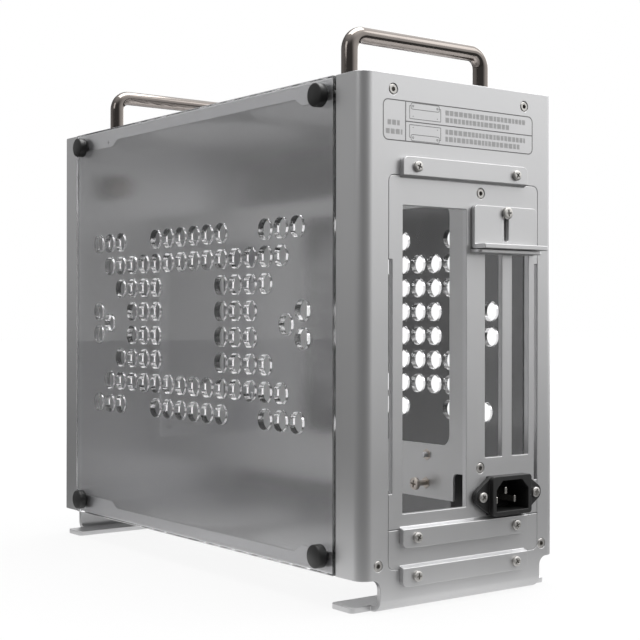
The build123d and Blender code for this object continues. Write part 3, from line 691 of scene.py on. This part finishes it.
def screws_on_points_tree():
    """One copy of a screw on each point, turned to face its own way and spun at random."""
    tree, given, made = geometry_tree("screws on points", {
        "Screw": "Object",
        "Finish": "Material",
        "Seed": "Int",
    })
    given = given.outputs
    screw = add(tree, "GeometryNodeObjectInfo", transform_space="ORIGINAL", Object=given["Screw"])
    facing = add(tree, "GeometryNodeInputNamedAttribute", data_type="FLOAT_VECTOR", Name="facing")
    aim = add(tree, "FunctionNodeAlignRotationToVector", axis="Z",
              Vector=facing.outputs["Attribute"])
    spin = add(tree, "FunctionNodeRandomValue", data_type="FLOAT", Seed=given["Seed"])
    for socket in spin.inputs:
        if socket.name == "Max" and socket.type == "VALUE":
            socket.default_value = math.tau
    spun = [socket for socket in spin.outputs if socket.type == "VALUE"][0]
    turn = add(tree, "FunctionNodeAxisAngleToRotation", Axis=(0, 0, 1), Angle=spun)
    both = add(tree, "FunctionNodeRotateRotation", rotation_space="LOCAL",
               Rotation=aim.outputs["Rotation"], Rotate_By=turn.outputs["Rotation"])
    copies = add(tree, "GeometryNodeInstanceOnPoints", Points=given["Geometry"],
                 Instance=screw.outputs["Geometry"], Rotation=both.outputs["Rotation"])
    real = add(tree, "GeometryNodeRealizeInstances", Geometry=copies.outputs["Instances"])
    finish = add(tree, "GeometryNodeSetMaterial", Geometry=real.outputs["Geometry"],
                 Material=given["Finish"])
    feed(tree, made, Geometry=finish.outputs["Geometry"])
    return tree


def drilled_sheet_tree():
    """A sheet filled round its holes on both faces, with a wall set in each hole."""
    tree, given, made = geometry_tree("drilled sheet", {
        "Outline": "Object",
        "Edge band": "Object",
        "Hole wall": "Object",
        "Mouth radius": "Float",
        "Mouth segments": "Int",
        "Thickness": "Float",
        "Outer face": "Material",
        "Inner face": "Material",
        "Wall": "Material",
    })
    given = given.outputs

    def object_input(label):
        return add(tree, "GeometryNodeObjectInfo", transform_space="ORIGINAL",
                   Object=given[label]).outputs["Geometry"]

    def joined(*parts):
        node = add(tree, "GeometryNodeJoinGeometry")
        for part in reversed(parts):
            feed(tree, node, Geometry=part)
        return node.outputs["Geometry"]

    def on_points(shape):
        node = add(tree, "GeometryNodeInstanceOnPoints", Points=given["Geometry"], Instance=shape)
        real = add(tree, "GeometryNodeRealizeInstances", Geometry=node.outputs["Instances"])
        return real.outputs["Geometry"]

    def with_material(shape, label):
        node = add(tree, "GeometryNodeSetMaterial", Geometry=shape, Material=given[label])
        return node.outputs["Geometry"]

    outline = add(tree, "GeometryNodeMeshToCurve", Mesh=object_input("Outline"))
    mouth = add(tree, "GeometryNodeCurvePrimitiveCircle", mode="RADIUS",
                Resolution=given["Mouth segments"], Radius=given["Mouth radius"])
    rims = joined(outline.outputs["Curve"], on_points(mouth.outputs["Curve"]))
    fill = add(tree, "GeometryNodeFillCurve", mode="TRIANGLES", Curve=rims)
    inner = add(tree, "GeometryNodeFlipFaces", Mesh=fill.outputs["Mesh"])
    lift = add(tree, "ShaderNodeCombineXYZ", Z=given["Thickness"])
    outer = add(tree, "GeometryNodeTransform", Geometry=fill.outputs["Mesh"],
                Translation=lift.outputs["Vector"])
    walls = joined(object_input("Edge band"), on_points(object_input("Hole wall")))
    everything = joined(
        with_material(outer.outputs["Geometry"], "Outer face"),
        with_material(inner.outputs["Mesh"], "Inner face"),
        with_material(walls, "Wall"),
    )
    weld = add(tree, "GeometryNodeMergeByDistance", Geometry=everything, Distance=WELD_DISTANCE)
    real = add(tree, "GeometryNodeRealizeInstances", Geometry=weld.outputs["Geometry"])
    feed(tree, made, Geometry=real.outputs["Geometry"])
    return tree


SCREWS = screws_on_points_tree()
DRILLED = drilled_sheet_tree()


# Screws


def lathed(profile, steps):
    """A closed solid turned round Z from a profile of (radius, height) from bottom to top."""
    bm = bmesh.new()
    rings = []
    for radius, height in profile:
        places = ring(radius, height, steps) if radius else [(0, 0, height)]
        rings.append([bm.verts.new(place) for place in places])
    for low, high in zip(rings, rings[1:]):
        for i in range(steps):
            j = (i + 1) % steps
            if len(low) == 1:
                bm.faces.new((low[0], high[j], high[i]))
            elif len(high) == 1:
                bm.faces.new((low[i], low[j], high[0]))
            else:
                bm.faces.new((low[i], low[j], high[j], high[i]))
    bmesh.ops.recalc_face_normals(bm, faces=bm.faces)
    return bm


def cut_by(thing, cutter):
    """Cut one object's shape out of another, and drop the cutter."""
    knife = thing.modifiers.new("cut", "BOOLEAN")
    knife.operation = "DIFFERENCE"
    knife.solver = "EXACT"
    knife.object = cutter
    made = baked(thing, thing.name)
    drop(thing, cutter)
    return made


def cross_cutter(reach, half_wing, depth):
    """A cross that tapers from a mouth above the head's face to its foot at -depth."""
    def outline(arm, half, z):
        quarter = ((arm, -half), (arm, half), (half, half))
        turns = ((1, 0, 0, 1), (0, -1, 1, 0), (-1, 0, 0, -1), (0, 1, -1, 0))
        return [bm.verts.new((a * x + b * y, c * x + d * y, z))
                for a, b, c, d in turns for x, y in quarter]

    bm = bmesh.new()
    top = outline(reach * CROSS_MOUTH_REACH, half_wing, CROSS_MOUTH_RISE * depth)
    low = outline(reach * CROSS_FOOT_REACH, half_wing * CROSS_FOOT_WING, -depth)
    bm.faces.new(top)
    bm.faces.new(low[::-1])
    count = len(top)
    for i in range(count):
        j = (i + 1) % count
        bm.faces.new((low[i], low[j], top[j], top[i]))
    bmesh.ops.recalc_face_normals(bm, faces=bm.faces)
    return from_bmesh("cross", bm)


def pan_screw(name, radius, height, shank_radius, shank_length):
    """A domed head with a cross recess; its seat is at z = 0."""
    profile = [
        (0, -shank_length),
        (shank_radius * 0.8, -shank_length),
        (shank_radius, -shank_length + shank_radius * 0.3),
        (shank_radius, 0),
        (radius * 0.96, 0),
        (radius, height * 0.12),
        (radius * 0.99, height * 0.60),
        (radius * 0.95, height * 0.82),
        (radius * 0.87, height * 0.93),
        (radius * 0.70, height * 0.97),
        (0, height),
    ]
    head = from_bmesh(name, lathed(profile, TURNED_STEPS))
    cutter = cross_cutter(radius * CROSS_REACH, radius * CROSS_HALF_WING, height * CROSS_DEPTH)
    cutter.data.transform(Matrix.Translation((0, 0, height)))
    screw = cut_by(head, cutter)
    smooth_by_angle(screw, SCREW_CREASE)
    return screw


def socket_screw(name, length):
    """A flush head with a chamfered rim and a hexagon socket; its face is at z = 0."""
    profile = [
        (0, -length),
        (SHANK_RADIUS, -length),
        (SHANK_RADIUS, -FLUSH_HEIGHT),
        (FLUSH_RADIUS, -FLUSH_HEIGHT),
        (FLUSH_RADIUS, -FLUSH_RIM * 0.8),
        (FLUSH_RADIUS - FLUSH_RIM, 0),
        (SOCKET_RADIUS * 1.35, 0),
        (0, 0),
    ]
    head = from_bmesh(name, lathed(profile, TURNED_STEPS))
    hexagon = lathed([(0, -SOCKET_DEPTH), (SOCKET_RADIUS, -SOCKET_DEPTH),
                      (SOCKET_RADIUS, MM), (0, MM)], 6)
    screw = cut_by(head, from_bmesh("hexagon", hexagon))
    smooth_by_angle(screw, SCREW_CREASE)
    return screw


def points_facing(name, places):
    """A mesh of loose points, each with the way that it faces."""
    mesh = bpy.data.meshes.new(name)
    mesh.from_pydata([place for place, _ in places], [], [])
    facing = mesh.attributes.new("facing", "FLOAT_VECTOR", "POINT")
    for i, (_, way) in enumerate(places):
        facing.data[i].vector = way
    return mesh_object(name, mesh)


def set_of_screws(name, screw, places, finish, seed, node, slot="screw_steel"):
    """Copies of a screw on some places, in place of a node's solids."""
    points = points_facing(name + "_points", places)
    made = run_tree(points, SCREWS, name, Screw=screw, Finish=finish, Seed=seed)
    return stand_for(made, None, node, slot=slot)


def seated(node, axis, end, height):
    """Places of screw seats: each solid's outer end moved in by the head's height."""
    way = Vector((0, 0, 0))
    way[axis] = end
    places = []
    for low, high in solid_boxes(node):
        place = (low + high) / 2
        place[axis] = (high if end > 0 else low)[axis]
        places.append((tuple(place - way * height), tuple(way)))
    return places


def seated_outwards(node):
    """Places of flush screws that face the rear behind the middle and the front before it."""
    pairs = zip(seated(node, REAR_AXIS, 1, 0.0), seated(node, REAR_AXIS, -1, 0.0))
    return [rear if rear[0][REAR_AXIS] > 0 else front for rear, front in pairs]


small_pan = pan_screw("small_pan", PAN_RADIUS, PAN_HEIGHT, SHANK_RADIUS, PAN_SHANK)
for node, axis, end, finish, seed in (
    ("tab_screws", REAR_AXIS, 1, PLATED, 3),
    ("inlet_screws", REAR_AXIS, 1, PLATED, 8),
    ("supply_screws", SIDE_AXIS, 1, ZINC, 11),
    ("handle_screws", UP_AXIS, -1, ZINC, 12),
    ("riser_screws", SIDE_AXIS, -1, ZINC, 13),
):
    set_of_screws(node + "_cross", small_pan, seated(node, axis, end, PAN_HEIGHT), finish, seed,
                  node)

retainer_pan = pan_screw("retainer_pan", RETAINER_PAN_RADIUS, PAN_HEIGHT, RETAINER_SHANK_RADIUS,
                         RETAINER_SHANK)
set_of_screws("retainer_screw_cross", retainer_pan,
              seated("retainer_screw", REAR_AXIS, 1, PAN_HEIGHT), PLATED, 5, "retainer_screw")

spare_pan = pan_screw("spare_pan", SPARE_PAN_RADIUS, SPARE_HEIGHT, SHANK_RADIUS, SPARE_SHANK)
set_of_screws("spare_screw_cross", spare_pan,
              seated("spare_screw", SIDE_AXIS, 1, SPARE_HEIGHT), WARM, 2, "spare_screw")

flush = socket_screw("flush", FLUSH_LENGTH)
set_of_screws("rear_shell_screws_socket", flush, seated("rear_shell_screws", REAR_AXIS, 1, 0.0),
              PLATED, 4, "rear_shell_screws")
set_of_screws("front_shell_screws_socket", flush,
              seated("front_shell_screws", REAR_AXIS, -1, 0.0), PLATED, 6, "front_shell_screws")

short_flush = socket_screw("short_flush", SHORT_FLUSH_LENGTH)
set_of_screws("tray_screws_socket", short_flush, seated_outwards("tray_screws"), PLATED, 7,
              "tray_screws")
drop(small_pan, retainer_pan, spare_pan, flush, short_flush)


# Sheet metal, with its edges rounded


for node in ("rear_shell", "front_shell", "top_plate", "bottom_plate", "io_plate", "adapter_plate"):
    softened(node, EDGE_ROUNDING, BLASTED, slot="shell_aluminium")
softened("pcie_retainer", EDGE_ROUNDING, BLASTED, body="retainer", slot="shell_aluminium")
softened("centre_tray", FINE_ROUNDING, TRAY, slot="tray_aluminium")
softened("riser_bracket", FINE_ROUNDING, ZINC, slot="bracket_steel")
softened("supply_bracket", FINE_ROUNDING, ZINC, slot="bracket_steel")
softened("power_inlet", EDGE_ROUNDING, INLET, slot="black_inlet")
softened("inlet_pins", PIN_ROUNDING, PINS, slot="pin_metal")
softened("board_nuts", NUT_ROUNDING, WARM, slot="screw_steel")
softened("riser_nuts", NUT_ROUNDING, WARM, slot="screw_steel")
softened("button_housing", FINE_ROUNDING, POLISHED, slot="handle_steel")
softened("button_nut", FINE_ROUNDING, ZINC, slot="screw_steel")
softened("power_button", EDGE_ROUNDING, POLISHED, body="button", slot="handle_steel")


# Drilled clear panels


def rounded_loop(half_x, half_y, corner, z=0.0, steps=CORNER_STEPS):
    """Points round a rectangle with rounded corners, anticlockwise."""
    points = []
    for i, (sx, sy) in enumerate(((1, 1), (-1, 1), (-1, -1), (1, -1))):
        for step in range(steps + 1):
            angle = math.pi / 2 * (i + step / steps)
            points.append((
                sx * (half_x - corner) + corner * math.cos(angle),
                sy * (half_y - corner) + corner * math.sin(angle),
                z,
            ))
    return points


def loop_object(name, points):
    """A closed loop of edges."""
    mesh = bpy.data.meshes.new(name)
    count = len(points)
    mesh.from_pydata(points, [(i, (i + 1) % count) for i in range(count)], [])
    return mesh_object(name, mesh)


def band_object(name, loops):
    """Quads between loops that each go the same way round, facing right of their run upwards."""
    mesh = bpy.data.meshes.new(name)
    points = [point for loop in loops for point in loop]
    count = len(loops[0])
    faces = []
    for level in range(len(loops) - 1):
        for i in range(count):
            j = (i + 1) % count
            a = level * count
            faces.append((a + i, a + j, a + count + j, a + count + i))
    mesh.from_pydata(points, [], faces)
    return mesh_object(name, mesh)


def panel_hole_places():
    """Hole centres measured from the middle of the pattern: along the case, and up."""
    last = HOLE_COLUMNS - 1
    places = []
    for row, columns in PANEL_ROWS.items():
        for side in (-1, 1):
            for column in columns:
                places.append(((column - last / 2) * HOLE_PITCH, side * row * HOLE_PITCH))
    front_end = -last / 2 * HOLE_PITCH
    rear_end = last / 2 * HOLE_PITCH + END_PAIR_SHIFT
    for side in (-1, 1):
        places.append((front_end, side * HOLE_PITCH / 2))
        places.append((rear_end, side * HOLE_PITCH / 2))
    places.append((front_end + HOLE_PITCH, 0))
    places.append((rear_end - HOLE_PITCH, 0))
    return places


def hole_wall(name, radius, thickness, steps):
    """The wall of one hole with a small chamfer at each mouth, facing its axis."""
    mouth = radius + HOLE_CHAMFER
    loops = [
        ring(mouth, thickness, steps),
        ring(radius, thickness - HOLE_CHAMFER, steps),
        ring(radius, HOLE_CHAMFER, steps),
        ring(mouth, 0, steps),
    ]
    return band_object(name, loops)


def clear_panel(node, side):
    """A clear sheet with polished holes, glossy outside and frosted inside."""
    low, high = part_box(node)
    middle = (low + high) / 2
    half_y = (high.y - low.y) / 2
    half_z = (high.z - low.z) / 2
    thickness = high.x - low.x - PANEL_BACK_GAP
    points = bpy.data.meshes.new(node + "_points")
    rise = HOLE_PATTERN_RISE
    points.from_pydata([(side * a, b + rise, 0) for a, b in panel_hole_places()], [], [])
    start = mesh_object(node + "_start", points)
    inner_y = half_y - PANEL_CHAMFER
    inner_z = half_z - PANEL_CHAMFER
    inner_corner = PANEL_CORNER - PANEL_CHAMFER
    outline = loop_object("outline", rounded_loop(inner_y, inner_z, inner_corner))
    edge = band_object("edge", [
        rounded_loop(inner_y, inner_z, inner_corner, 0),
        rounded_loop(half_y, half_z, PANEL_CORNER, PANEL_CHAMFER),
        rounded_loop(half_y, half_z, PANEL_CORNER, thickness - PANEL_CHAMFER),
        rounded_loop(inner_y, inner_z, inner_corner, thickness),
    ])
    wall = hole_wall("wall", HOLE_RADIUS, thickness, HOLE_SEGMENTS)
    panel = run_tree(
        start, DRILLED, node + "_clear",
        Outline=outline, Edge_band=edge, Hole_wall=wall,
        Mouth_radius=HOLE_RADIUS + HOLE_CHAMFER, Mouth_segments=HOLE_SEGMENTS,
        Thickness=thickness, Outer_face=CLEAR_FACE, Inner_face=FROSTED_FACE, Wall=CLEAR_WALL,
    )
    drop(outline, edge, wall)
    turn = Matrix(((0, 0, side), (side, 0, 0), (0, 1, 0))).to_4x4()
    inner_x = low.x + PANEL_BACK_GAP if side > 0 else high.x - PANEL_BACK_GAP
    panel.data.transform(Matrix.Translation((inner_x, middle.y, middle.z)) @ turn)
    smooth_by_angle(panel, PANEL_CREASE)
    return stand_for(panel, None, node, slot="smoke_acrylic")


clear_panel("side_panel_right", 1)
clear_panel("side_panel_left", -1)


# Knobs


knob = from_bmesh("knob", lathed([
    (0, KNOB_STUD_END),
    (KNOB_STUD_RADIUS, KNOB_STUD_END),
    (KNOB_STUD_RADIUS, KNOB_COLLAR_END),
    (KNOB_COLLAR_RADIUS, KNOB_COLLAR_END),
    (KNOB_COLLAR_RADIUS, 0),
    (KNOB_RADIUS - KNOB_CHAMFER, 0),
    (KNOB_RADIUS, KNOB_CHAMFER),
    (KNOB_RADIUS, KNOB_HEIGHT - 0.8 * MM),
    (KNOB_RADIUS - 0.2 * MM, KNOB_HEIGHT - 0.3 * MM),
    (KNOB_RADIUS - 0.7 * MM, KNOB_HEIGHT),
    (0, KNOB_HEIGHT),
], KNOB_STEPS))
smooth_by_angle(knob, ROUND_CREASE)
for node, side in (("panel_knobs_right", 1), ("panel_knobs_left", -1)):
    set_of_screws(node + "_turned", knob, seated(node, SIDE_AXIS, side, KNOB_HEIGHT), KNOB, 9,
                  node, slot="black_knob")
drop(knob)


# Handles


def handle(node):
    """A polished round bar bent twice, on the line of the solid one."""
    low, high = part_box(node)
    y = (low.y + high.y) / 2
    radius = (high.y - low.y) / 2
    curve = bpy.data.curves.new(node, "CURVE")
    curve.dimensions = "3D"
    curve.bevel_depth = radius
    curve.bevel_resolution = 10
    curve.use_fill_caps = True
    side = high.x - radius
    top = high.z - radius
    route = [Vector((side, y, low.z))]
    for sign, start in ((1, 0), (-1, 90)):
        centre = Vector((sign * (side - HANDLE_BEND), y, top - HANDLE_BEND))
        for step in range(HANDLE_BEND_STEPS + 1):
            angle = math.radians(start + 90 * step / HANDLE_BEND_STEPS)
            route.append(centre + HANDLE_BEND * Vector((math.cos(angle), 0, math.sin(angle))))
    route.append(Vector((-side, y, low.z)))
    line = curve.splines.new("POLY")
    line.points.add(len(route) - 1)
    for point, place in zip(line.points, route):
        point.co = (*place, 1.0)
    rough = mesh_object(node + "_curve", curve)
    bar = baked(rough, node + "_polished")
    drop(rough)
    bm = bmesh.new()
    bm.from_mesh(bar.data)
    bmesh.ops.remove_doubles(bm, verts=bm.verts, dist=MERGE_DISTANCE)
    bmesh.ops.recalc_face_normals(bm, faces=bm.faces)
    bm.to_mesh(bar.data)
    bm.free()
    smooth_by_angle(bar, ROUND_CREASE)
    return stand_for(bar, POLISHED, node, slot="handle_steel")


handle("handle_rear")
handle("handle_front")


# Printed outlines


def strip(bm, a, b, width):
    """A flat printed line between two places of X and Z, raised along Y."""
    a, b = Vector(a), Vector(b)
    along = (b - a).normalized()
    across = Vector((-along.y, along.x)) * width / 2
    corners = [a - across, b - across, b + across, a + across]
    back = [bm.verts.new((c.x, 0, c.y)) for c in corners]
    front = [bm.verts.new((c.x, PRINT_THICKNESS, c.y)) for c in corners]
    bm.faces.new(front)
    bm.faces.new(back[::-1])
    for i in range(4):
        j = (i + 1) % 4
        bm.faces.new((back[i], back[j], front[j], front[i]))


def ring_of_strips(bm, points, width):
    """Printed lines from each point to the next, and back to the first."""
    for a, b in zip(points, points[1:] + points[:1]):
        strip(bm, a, b, width)


def plate_outline(bm, far_z, lip_z):
    """The outline of an adapter plate, open on the side of its rounded lip."""
    middle = (PLATE_LEFT + PLATE_RIGHT) / 2
    reach = (PLATE_LEFT - PLATE_RIGHT) / 2 - LIP_INSET
    corners = (
        (PLATE_LEFT - LIP_INSET, lip_z),
        (PLATE_LEFT, lip_z),
        (PLATE_LEFT, far_z),
        (PLATE_RIGHT, far_z),
        (PLATE_RIGHT, lip_z),
        (PLATE_RIGHT + LIP_INSET, lip_z),
    )
    for a, b in zip(corners, corners[1:]):
        strip(bm, a, b, PLATE_LINE)
    lip = rounded_loop(reach, LIP_HEIGHT / 2, LIP_CORNER)
    ring_of_strips(bm, [(x + middle, y + lip_z) for x, y, _ in lip], PLATE_LINE)
    dot_z = far_z + DOT_RISE * (lip_z - far_z)
    screw = rounded_loop(DOT, DOT, DOT_CORNER, steps=1)
    for x in (middle - SCREW_MARK_SHARE * reach, middle + SCREW_MARK_SHARE * reach):
        ring_of_strips(bm, [(x + a, lip_z + b) for a, b, _ in screw], PLATE_LINE)
        strip(bm, (x - DOT / 2, dot_z), (x + DOT / 2, dot_z), DOT)


def row_of_bars(bm, left, right, z, spread):
    """Plain bars of uneven length in a row."""
    x = left
    while x - BAR_GAP > right:
        end = max(x - spread.uniform(*BAR_LENGTHS), right)
        strip(bm, (x, z), (end, z), BAR_HEIGHT)
        x = end - BAR_GAP


def printed(name, bm, move, finish):
    """A thin print from its strips, moved on to its surface."""
    bmesh.ops.recalc_face_normals(bm, faces=bm.faces)
    piece = from_bmesh(name, bm)
    piece.data.transform(move)
    if move.is_negative:
        piece.data.flip_normals()
    stand_for(piece, finish)


def rear_print():
    """A ruled frame with two plate outlines, and rows of plain bars."""
    rear_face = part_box("adapter_plate")[1].y - SHELL_THICKNESS
    on_rear = Matrix.Translation((0, rear_face, 0))
    middle_x = (LABEL_LEFT + LABEL_RIGHT) / 2
    middle_z = (LABEL_LOW + LABEL_HIGH) / 2
    half_x = (LABEL_LEFT - LABEL_RIGHT) / 2
    half_z = (LABEL_HIGH - LABEL_LOW) / 2
    lines = bmesh.new()
    rim = [(x + middle_x, y + middle_z) for x, y, _ in rounded_loop(half_x, half_z, LABEL_CORNER)]
    ring_of_strips(lines, rim, PRINT_LINE)
    strip(lines, (LABEL_DIVIDER, LABEL_LOW), (LABEL_DIVIDER, LABEL_HIGH), PRINT_LINE)
    strip(lines, (LABEL_DIVIDER, middle_z), (LABEL_RIGHT, middle_z), PRINT_LINE)
    plate_outline(lines, *UPPER_PLATE)
    plate_outline(lines, *LOWER_PLATE)
    printed("rear_print", lines, on_rear, PRINT)
    bars = bmesh.new()
    spread = random.Random(BAR_SEED)
    for left, right, z in BAR_ROWS_MM:
        row_of_bars(bars, left * MM, right * MM, z * MM, spread)
    printed("rear_print_bars", bars, on_rear, BARS)


def flange_mark():
    """A small cross on the side flange of the top plate."""
    bm = bmesh.new()
    y, z = MARK_PLACE
    strip(bm, (y - MARK_LONG / 2, z), (y + MARK_LONG / 2, z), MARK_WIDE)
    strip(bm, (y, z - MARK_LONG / 2), (y, z - MARK_WIDE / 2), MARK_WIDE)
    strip(bm, (y, z + MARK_WIDE / 2), (y, z + MARK_LONG / 2), MARK_WIDE)
    flange_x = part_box("top_plate")[1].x
    on_flange = Matrix(((0, 1, 0, flange_x), (1, 0, 0, 0), (0, 0, 1, 0), (0, 0, 0, 1)))
    printed("flange_mark", bm, on_flange, PRINT)


rear_print()
flange_mark()


# Floor, light and camera


def weighted_sum(tree, pairs):
    """The sum of the products of some pairs of values."""
    total = 0.0
    for value, weight in pairs:
        total = math_node(tree, "MULTIPLY_ADD", value, weight, total)
    return total


def towards(tree, directions, way, start, end, low, high):
    """A value that rises smoothly from low to high as a direction nears a way."""
    dot = add(tree, "ShaderNodeVectorMath", operation="DOT_PRODUCT")
    tree.links.new(directions, dot.inputs[0])
    dot.inputs[1].default_value = Vector(way).normalized()
    return ranged(tree, dot.outputs["Value"], low, high, start, end,
                  interpolation_type="SMOOTHSTEP")


def ray_kinds(tree):
    """Whether a ray comes from the eye, off metal, or through glass, rough glass too."""
    path = add(tree, "ShaderNodeLightPath").outputs
    through_glass = path["Is Transmission Ray"]
    off_metal = math_node(tree, "SUBTRACT", path["Is Glossy Ray"], through_glass, clamp=True)
    return path["Is Camera Ray"], off_metal, through_glass


def floor():
    """A pale floor that reads white to the eye away from the shadow of the case."""
    bpy.ops.mesh.primitive_plane_add(size=FLOOR_SIZE)
    plane = bpy.context.object
    plane.name = "floor"
    material = bpy.data.materials.new("pale floor")
    material.use_nodes = True
    tree = material.node_tree
    tree.nodes.clear()
    place = add(tree, "ShaderNodeTexCoord").outputs["Object"]
    length = add(tree, "ShaderNodeVectorMath", operation="LENGTH", Vector=place)
    reach = length.outputs["Value"]
    fade = ranged(tree, reach, FLOOR_GLOW, 1.0, GLOW_FROM, GLOW_WHOLE,
                  interpolation_type="SMOOTHSTEP")
    closeness = ranged(tree, reach, 1.0, 0.0, MIRRORED_FROM, MIRRORED_TO)
    steep = math_node(tree, "POWER", closeness, MIRRORED_POWER)
    mirrored = math_node(tree, "MULTIPLY_ADD", steep, FLOOR_MIRRORED_NEAR, FLOOR_MIRRORED_FAR)
    outward = add(tree, "ShaderNodeVectorMath", operation="NORMALIZE", Vector=place)
    eye, metal, glass = ray_kinds(tree)
    in_glass = towards(tree, outward.outputs["Vector"], SHADED_WAY, SHADED_FROM, SHADED_WHOLE,
                       FLOOR_IN_GLASS, FLOOR_SHADED)
    strength = weighted_sum(tree, ((eye, fade), (metal, mirrored), (glass, in_glass)))
    grey = (FLOOR_COLOUR, FLOOR_COLOUR, FLOOR_COLOUR, 1)
    matt = add(tree, "ShaderNodeBsdfDiffuse", Color=grey)
    glow = add(tree, "ShaderNodeEmission", Strength=strength)
    both = add(tree, "ShaderNodeAddShader")
    tree.links.new(matt.outputs[0], both.inputs[0])
    tree.links.new(glow.outputs[0], both.inputs[1])
    add(tree, "ShaderNodeOutputMaterial", Surface=both.outputs[0])
    plane.data.materials.append(material)


def studio():
    """A dim room with a few broad bright sides; the camera itself sees plain white."""
    world = bpy.data.worlds.new("studio")
    bpy.context.scene.world = world
    world.use_nodes = True
    tree = world.node_tree
    tree.nodes.clear()
    directions = add(tree, "ShaderNodeTexCoord").outputs["Generated"]
    eye, metal, glass = ray_kinds(tree)
    outside_glass = math_node(tree, "SUBTRACT", 1.0, glass)
    sides = weighted_sum(tree, [(towards(tree, directions, way, start, end, 0.0, level), 1.0)
                                for way, start, end, level in ROOM_SIDES])
    room_light = math_node(tree, "MULTIPLY_ADD", sides, outside_glass, ROOM_LEVEL)
    in_glass = towards(tree, directions, SHADED_WAY, SHADED_FROM, SHADED_WHOLE,
                       BACKDROP_IN_GLASS, BACKDROP_SHADED)
    share_of_white = weighted_sum(tree, ((eye, 1.0), (metal, BACKDROP_IN_METAL), (glass, in_glass)))
    room = add(tree, "ShaderNodeBackground", Color=(1, 1, 1, 1), Strength=room_light)
    white = add(tree, "ShaderNodeBackground", Color=(1, 1, 1, 1), Strength=1.0)
    mix = add(tree, "ShaderNodeMixShader", Fac=share_of_white)
    tree.links.new(room.outputs[0], mix.inputs[1])
    tree.links.new(white.outputs[0], mix.inputs[2])
    add(tree, "ShaderNodeOutputWorld", Surface=mix.outputs[0])


def soft_light(name, place, aim, size, watts):
    """A square lamp that points at a place."""
    light = bpy.data.lights.new(name, "AREA")
    light.shape = "RECTANGLE"
    light.size, light.size_y = size
    light.energy = watts
    lamp = bpy.data.objects.new(name, light)
    bpy.context.scene.collection.objects.link(lamp)
    lamp.location = place
    lamp.rotation_euler = (Vector(aim) - Vector(place)).to_track_quat("-Z", "Y").to_euler()


def camera():
    """The camera from its place, its two angles and its roll."""
    forward = Vector((
        -math.sin(CAMERA_YAW) * math.cos(CAMERA_PITCH),
        -math.cos(CAMERA_YAW) * math.cos(CAMERA_PITCH),
        math.sin(CAMERA_PITCH),
    ))
    right = forward.cross(Vector((0, 0, 1))).normalized()
    up = right.cross(forward)
    tilt_right = right * math.cos(CAMERA_ROLL) + up * math.sin(CAMERA_ROLL)
    tilt_up = up * math.cos(CAMERA_ROLL) - right * math.sin(CAMERA_ROLL)
    lens = bpy.data.cameras.new("camera")
    lens.sensor_width = SENSOR
    lens.lens = FOCAL_PIXELS * SENSOR / FRAME_PIXELS
    lens.clip_start = 0.01
    lens.clip_end = 50
    eye = bpy.data.objects.new("camera", lens)
    bpy.context.scene.collection.objects.link(eye)
    turn = Matrix((tilt_right, tilt_up, -forward)).transposed()
    eye.matrix_world = Matrix.Translation(CAMERA_PLACE) @ turn.to_4x4()
    bpy.context.scene.camera = eye


floor()
studio()
for lamp in LAMPS:
    soft_light(*lamp)
camera()
bpy.context.scene.view_settings.view_transform = "Standard"
